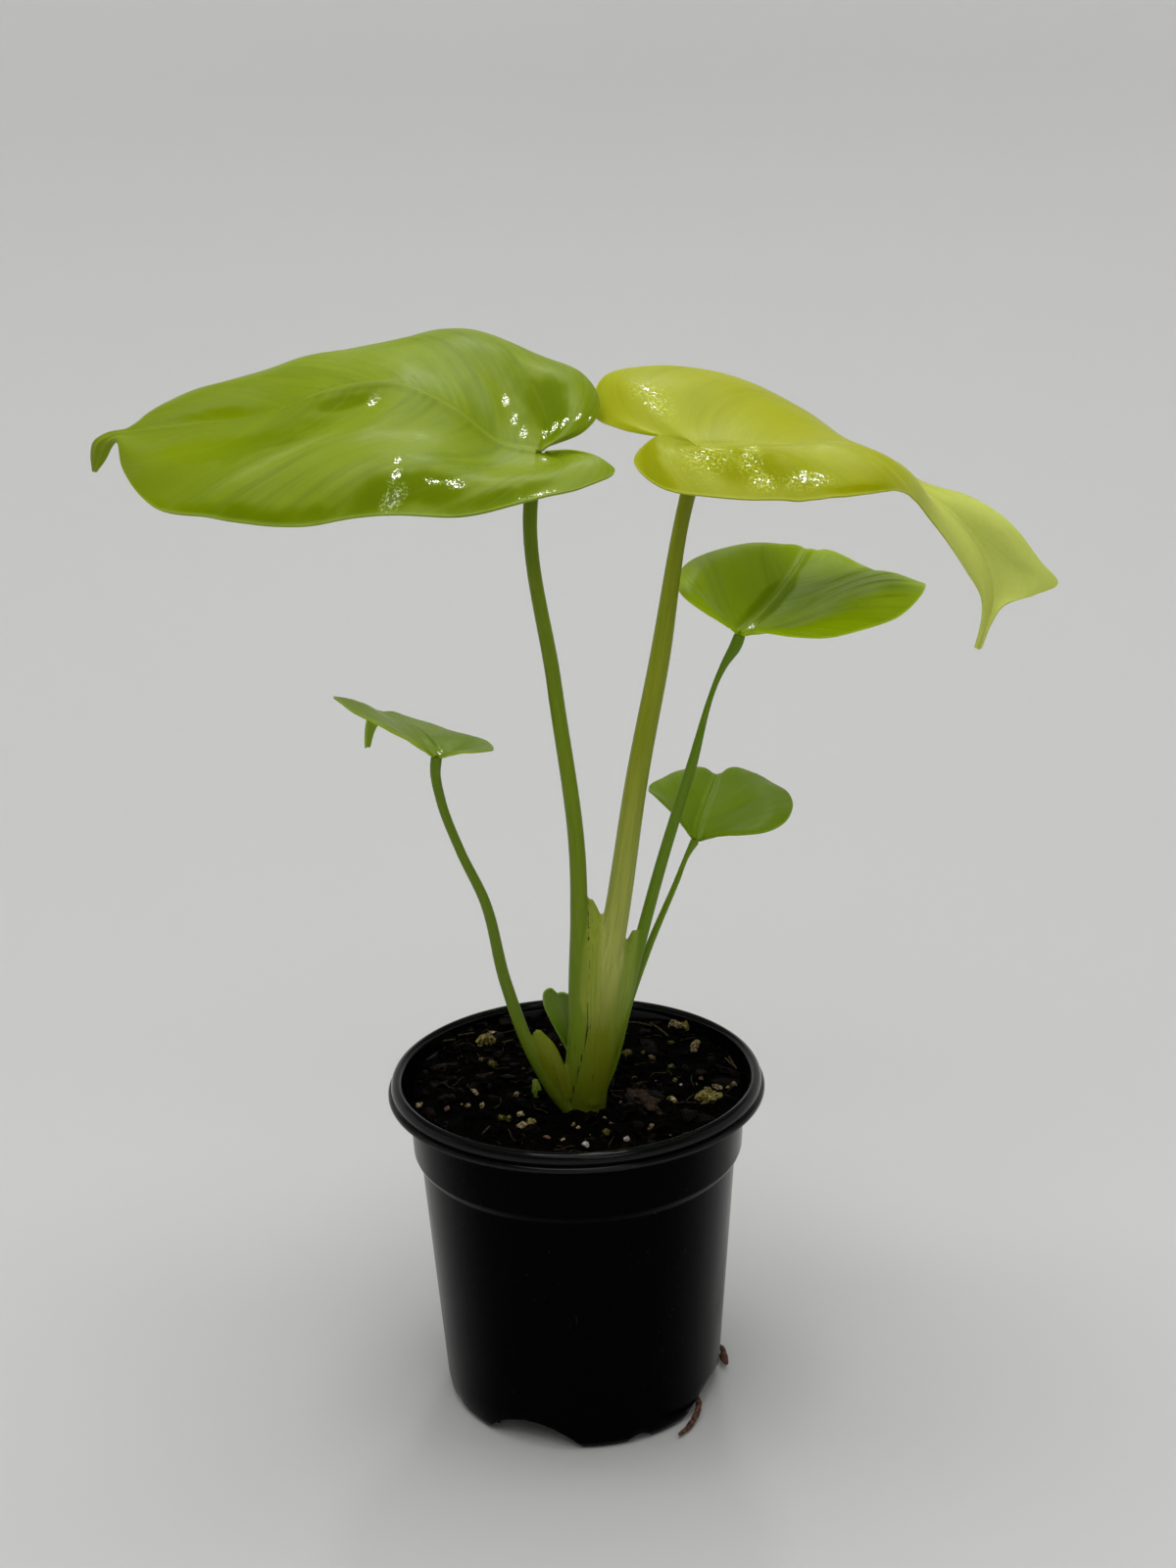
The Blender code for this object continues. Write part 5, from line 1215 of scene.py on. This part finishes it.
def make_stems(settings):
    """The base, its sheaths and all stalks, grown together into one skin."""
    crown = tube("crown", CROWN, CROWN_SIDES)
    flatten_depth(crown, CROWN_DEPTH)
    parts = [crown]
    axes = []
    for points, depth in SHEATHS:
        sheath = tube("sheath", points, SHEATH_SIDES)
        flatten_depth(sheath, depth)
        parts.append(sheath)
    for name, points in STALKS.items():
        route = points + [(*seat_point(name), points[-1][3] * STALK_FLARES[name])]
        parts.append(tube(name, route, STALK_SIDES))
        axes.append(read_curve(smooth_curve(route), np.linspace(0, 1, AXIS_SAMPLES)))
    short = np.linspace(0, 1, SHORT_AXIS_SAMPLES)
    axes += [read_curve(smooth_curve(points), short) for points, _ in SHEATHS]
    stems = join("stems", parts)
    remesh = stems.modifiers.new("Grow together", "REMESH")
    remesh.mode = "VOXEL"
    remesh.voxel_size = STEM_VOXEL * MM
    soften = stems.modifiers.new("Soften", "SMOOTH")
    soften.factor = 0.5
    soften.iterations = 5
    apply_modifiers(stems)
    places = vertex_places(stems)
    height = places[:, 2]
    gaps, offsets, runs = (np.array(found) for found in zip(*[axis_offsets(places, rows) for rows in axes]))
    # The tint holds each stalk's colour, with painted shade towards the mix.
    tint = stem_tints(height, gaps) * np.array(settings.stalk_tint)
    add_attribute(stems, "tint", "FLOAT_COLOR", np.column_stack([tint, np.ones(len(tint))]))
    chosen, pick = gaps.argmin(axis=0), np.arange(len(places))
    offsets, runs = offsets[chosen, pick], runs[chosen, pick]
    along = runs * STRIPE_RATE - offsets[:, 2]
    grain = offsets + np.stack([chosen * STALK_STEP, np.zeros(len(chosen)), along], axis=-1)
    add_attribute(stems, "grain", "FLOAT_VECTOR", grain)
    seam = np.interp(height, [z for _, z in DARK_SEAM], [x for x, _ in DARK_SEAM])
    front = (places[:, 1] < SEAM_DEPTH) & (height > SEAM_BOTTOM) & (height < SEAM_TOP)
    add_attribute(stems, "seam", "FLOAT", bell(places[:, 0], seam, SEAM_WIDTH) * front)
    dress(stems, stem_finish(), NO_CREASE, "stalk_green", "plant_base", *["stalk_" + name for name in STALKS])


def make_leaves(settings):
    """The five blades."""
    gloss = (settings.leaf_gloss, settings.leaf_gloss + GLOSS_RANGE)
    for index, (name, blade) in enumerate(BLADES.items()):
        make_blade("leaf_" + name, blade, LEAF_COLOURS[name], gloss, settings, index * 10 + 1, LEAF_SLOTS[name],
                   "blade_" + name)


def make_sprouts(settings):
    """The rolled young leaf and the small green tip."""
    make_blade("leaf_sprout", SPROUT_LEAF, SPROUT_COLOURS, SPROUT_GLOSS, settings, 71, "leaf_dark", "sprout_leaf")
    tip = tube("tip_sprout", SPROUT_TIP, *TIP_MESH)
    count = len(tip.data.vertices)
    add_attribute(tip, "seam", "FLOAT", [0.0] * count)
    add_attribute(tip, "tint", "FLOAT_COLOR", [(*tinted(SPROUT_TIP_COLOUR, settings.stalk_tint), 1.0)] * count)
    add_attribute(tip, "grain", "FLOAT_VECTOR", vertex_places(tip) * (1.0, 1.0, 0.1))
    dress(tip, bpy.data.materials["stem_skin"], ROD_CREASE, "stalk_green", "sprout_tip")


def make_roots(settings):
    """The two dry roots at the drains."""
    bark = root_finish(settings)
    for name, points in ROOTS.items():
        root = tube("dry_root_" + name, points, *ROOT_MESH)
        places = vertex_places(root)
        middle = read_curve(smooth_curve(points), np.linspace(0, 1, SHORT_AXIS_SAMPLES))
        _, offsets, _ = axis_offsets(places, middle)
        size = np.linalg.norm(offsets, axis=1, keepdims=True)
        rough = ROOT_ROUGHNESS * noise_values(places, ROOT_LUMPS, 5.0, 3) - ROOT_SHRINK
        move_vertices(root, places + offsets / np.maximum(size, 0.1) * rough[:, None])
        dress(root, bark, ROD_CREASE, "root", "root_" + name)


def soft_light(name, stand, aim, sides, power):
    """A flat lamp that faces a point."""
    data = bpy.data.lights.new(name, "AREA")
    data.shape = "RECTANGLE"
    data.size, data.size_y = sides
    data.energy = power
    lamp = new_object(name, data)
    lamp.location = stand
    lamp.rotation_euler = (Vector(aim) - Vector(stand)).to_track_quat("-Z", "Y").to_euler()


def make_camera():
    """The camera stands where the picture was taken from."""
    yaw, pitch, roll = (math.radians(angle) for angle in (CAMERA_YAW, CAMERA_PITCH, CAMERA_ROLL))
    ahead = Vector((math.sin(yaw) * math.cos(pitch), math.cos(yaw) * math.cos(pitch), -math.sin(pitch)))
    level = Vector((math.cos(yaw), -math.sin(yaw), 0.0))
    up = level.cross(ahead)
    right = level * math.cos(roll) - up * math.sin(roll)
    top = up * math.cos(roll) + level * math.sin(roll)
    data = bpy.data.cameras.new("camera")
    data.sensor_width = SENSOR
    data.lens = FOCAL_PIXELS / PICTURE_HEIGHT * SENSOR
    data.clip_start = 0.01
    camera = new_object("camera", data)
    turn = Matrix((right, top, -ahead)).transposed().to_4x4()
    camera.matrix_world = Matrix.Translation(CAMERA_PLACE) @ turn
    bpy.context.scene.camera = camera


def make_stage(settings):
    """A pale floor that curves up all round, soft lamps, and the camera."""
    floor = [(0.0, -FLOOR_DROP)]
    for angle in np.linspace(0, math.pi / 2, BEND_STEPS):
        floor.append((FLOOR_REACH + FLOOR_BEND * math.sin(angle), FLOOR_BEND * (1 - math.cos(angle)) - FLOOR_DROP))
    floor.append((FLOOR_REACH + FLOOR_BEND, WALL_TOP - FLOOR_DROP))
    sweep = turned("floor", floor, FLOOR_STEPS)
    shade(sweep, ROD_CREASE)
    sweep.data.materials.append(floor_finish(settings))
    for name, stand, aim, sides, share in LAMPS:
        soft_light(name, stand, aim, sides, settings.lamp_power * share)
    world = bpy.data.worlds.new("studio")
    bpy.context.scene.world = world
    world.use_nodes = True
    background = world.node_tree.nodes["Background"]
    background.inputs["Color"].default_value = (1.0, 1.0, 1.0, 1.0)
    background.inputs["Strength"].default_value = settings.ambient
    bpy.context.scene.view_settings.view_transform = "Standard"
    make_camera()


class MonsteraPotSettings(bpy.types.PropertyGroup):
    """Sizes and colour of the pot."""

    pot_colour: FloatVectorProperty(
        name="Pot colour", description="Colour of the moulded plastic", subtype="COLOR", min=0.0, max=1.0,
        default=(0.0008, 0.0009, 0.0013))
    pot_sheen: FloatProperty(name="Pot sheen", description="Strength of the reflections at the sides",
                             subtype="FACTOR", default=0.08, min=0.0, max=1.0)
    pot_steps: IntProperty(name="Pot steps", description="Flats around the pot", default=144, min=24, max=256)
    edge_rounding: FloatProperty(
        name="Edge rounding", description="Width of the softened edges", subtype="DISTANCE", precision=5,
        default=0.00022, min=0.0, max=0.001)


class MonsteraSoilSettings(bpy.types.PropertyGroup):
    """Amounts and colours of the potting mix and the roots."""

    peat_colour: FloatVectorProperty(
        name="Peat colour", description="Colour of the wet peat", subtype="COLOR", min=0.0, max=1.0,
        default=(0.0006, 0.0005, 0.0004))
    root_colour: FloatVectorProperty(
        name="Root colour", description="Lighter colour of the dry roots", subtype="COLOR", min=0.0, max=1.0,
        default=(0.16, 0.075, 0.04))
    soil_rings: IntProperty(name="Rings", description="Rings of the rough top", default=80, min=8, max=160)
    soil_steps: IntProperty(name="Steps", description="Flats around the bed", default=200, min=24, max=360)
    crumbs: IntProperty(name="Crumbs", description="Small dark crumbs", default=900, min=0, max=3000)
    chips: IntProperty(name="Bark chips", description="Flat dark chips", default=150, min=0, max=800)
    specks: IntProperty(name="Specks", description="Pale specks of each kind", default=5, min=0, max=80)
    fibres: IntProperty(name="Fibres", description="Thin loose fibres", default=60, min=0, max=300)
    seed: IntProperty(name="Seed", description="Start of the random draws", default=7)


class MonsteraLeafSettings(bpy.types.PropertyGroup):
    """Colour, thickness and finish of the leaves and stalks."""

    leaf_tint: FloatVectorProperty(
        name="Leaf tint", description="Multiplies the colours of all blades", subtype="COLOR", min=0.0, max=1.0,
        default=(1.0, 1.0, 1.0))
    stalk_tint: FloatVectorProperty(
        name="Stalk tint", description="Multiplies the colours of base and stalks", subtype="COLOR", min=0.0,
        max=1.0, default=(1.0, 1.0, 1.0))
    blade_thickness: FloatProperty(
        name="Blade thickness", description="Thickness of the leaf blades", subtype="DISTANCE", precision=5,
        default=0.00066, min=0.0002, max=0.002)
    leaf_gloss: FloatProperty(
        name="Leaf gloss", description="Lowest roughness of the upper side", subtype="FACTOR", default=0.36,
        min=0.05, max=0.8)


class MonsteraStageSettings(bpy.types.PropertyGroup):
    """Floor and light."""

    floor_colour: FloatVectorProperty(
        name="Floor colour", description="Colour of the floor paper", subtype="COLOR", min=0.0, max=1.0,
        default=(0.675, 0.675, 0.665))
    # Painted shade: the dark colour painted on the walls on the viewer's side and at the top, for a dark room.
    painted_room_shade_colour: FloatVectorProperty(
        name="Room colour", description="Colour of the walls on the viewer's side", subtype="COLOR", min=0.0,
        max=1.0, default=(0.17, 0.17, 0.17))
    lamp_power: FloatProperty(name="Lamp power", description="Power of the overhead lamp", unit="POWER",
                              default=9.5, min=0.0, max=200.0)
    ambient: FloatProperty(name="Ambient light", description="Strength of the light from all round", default=0.28,
                           min=0.0, max=5.0)


class MONSTERA_OT_pot(bpy.types.Operator):
    """Build the nursery pot"""

    bl_idname = "monstera.pot"
    bl_label = "Pot"

    def execute(self, context):
        make_pot(context.scene.monstera_pot)
        return {"FINISHED"}


class MONSTERA_OT_soil(bpy.types.Operator):
    """Build the potting mix with its grains and fibres"""

    bl_idname = "monstera.soil"
    bl_label = "Potting mix"

    def execute(self, context):
        make_peat(context.scene.monstera_soil)
        make_grains(context.scene.monstera_soil)
        return {"FINISHED"}


class MONSTERA_OT_stems(bpy.types.Operator):
    """Build the plant base and the stalks"""

    bl_idname = "monstera.stems"
    bl_label = "Base and stalks"

    def execute(self, context):
        make_stems(context.scene.monstera_leaves)
        return {"FINISHED"}


class MONSTERA_OT_leaves(bpy.types.Operator):
    """Build the five leaf blades"""

    bl_idname = "monstera.leaves"
    bl_label = "Leaf blades"

    def execute(self, context):
        make_leaves(context.scene.monstera_leaves)
        return {"FINISHED"}


class MONSTERA_OT_sprouts(bpy.types.Operator):
    """Build the young leaf and the sprout tip"""

    bl_idname = "monstera.sprouts"
    bl_label = "Sprouts"

    def execute(self, context):
        make_sprouts(context.scene.monstera_leaves)
        return {"FINISHED"}


class MONSTERA_OT_roots(bpy.types.Operator):
    """Build the two dry roots at the drains"""

    bl_idname = "monstera.roots"
    bl_label = "Roots"

    def execute(self, context):
        make_roots(context.scene.monstera_soil)
        return {"FINISHED"}


class MONSTERA_OT_stage(bpy.types.Operator):
    """Set up the floor, the lamps and the camera"""

    bl_idname = "monstera.stage"
    bl_label = "Stage"

    def execute(self, context):
        make_stage(context.scene.monstera_stage)
        return {"FINISHED"}


class VIEW3D_PT_monstera(bpy.types.Panel):
    """The monstera's settings and the buttons that build it"""

    bl_label = "Potted monstera"
    bl_space_type = "VIEW_3D"
    bl_region_type = "UI"
    bl_category = "Monstera"

    def draw(self, context):
        layout = self.layout
        for group in GROUPS:
            settings = getattr(context.scene, group)
            for name in settings.bl_rna.properties.keys():
                if name not in ("rna_type", "name"):
                    layout.prop(settings, name)
        for operator in OPERATORS:
            layout.operator(operator.bl_idname)


GROUPS = {
    "monstera_pot": MonsteraPotSettings,
    "monstera_soil": MonsteraSoilSettings,
    "monstera_leaves": MonsteraLeafSettings,
    "monstera_stage": MonsteraStageSettings,
}
OPERATORS = (MONSTERA_OT_pot, MONSTERA_OT_soil, MONSTERA_OT_stems, MONSTERA_OT_leaves, MONSTERA_OT_sprouts,
             MONSTERA_OT_roots, MONSTERA_OT_stage)


def register():
    """Adds the settings, operators and panel."""
    for kind in (*GROUPS.values(), *OPERATORS, VIEW3D_PT_monstera):
        bpy.utils.register_class(kind)
    for name, group in GROUPS.items():
        setattr(bpy.types.Scene, name, PointerProperty(type=group))


def unregister():
    """Takes them away again."""
    for name in GROUPS:
        delattr(bpy.types.Scene, name)
    for kind in (VIEW3D_PT_monstera, *OPERATORS[::-1], *GROUPS.values()):
        bpy.utils.unregister_class(kind)


def main():
    """Builds every piece and the stage."""
    register()
    bpy.ops.monstera.pot()
    bpy.ops.monstera.soil()
    bpy.ops.monstera.stems()
    bpy.ops.monstera.leaves()
    bpy.ops.monstera.sprouts()
    bpy.ops.monstera.roots()
    bpy.ops.monstera.stage()


if __name__ == "__main__":
    main()
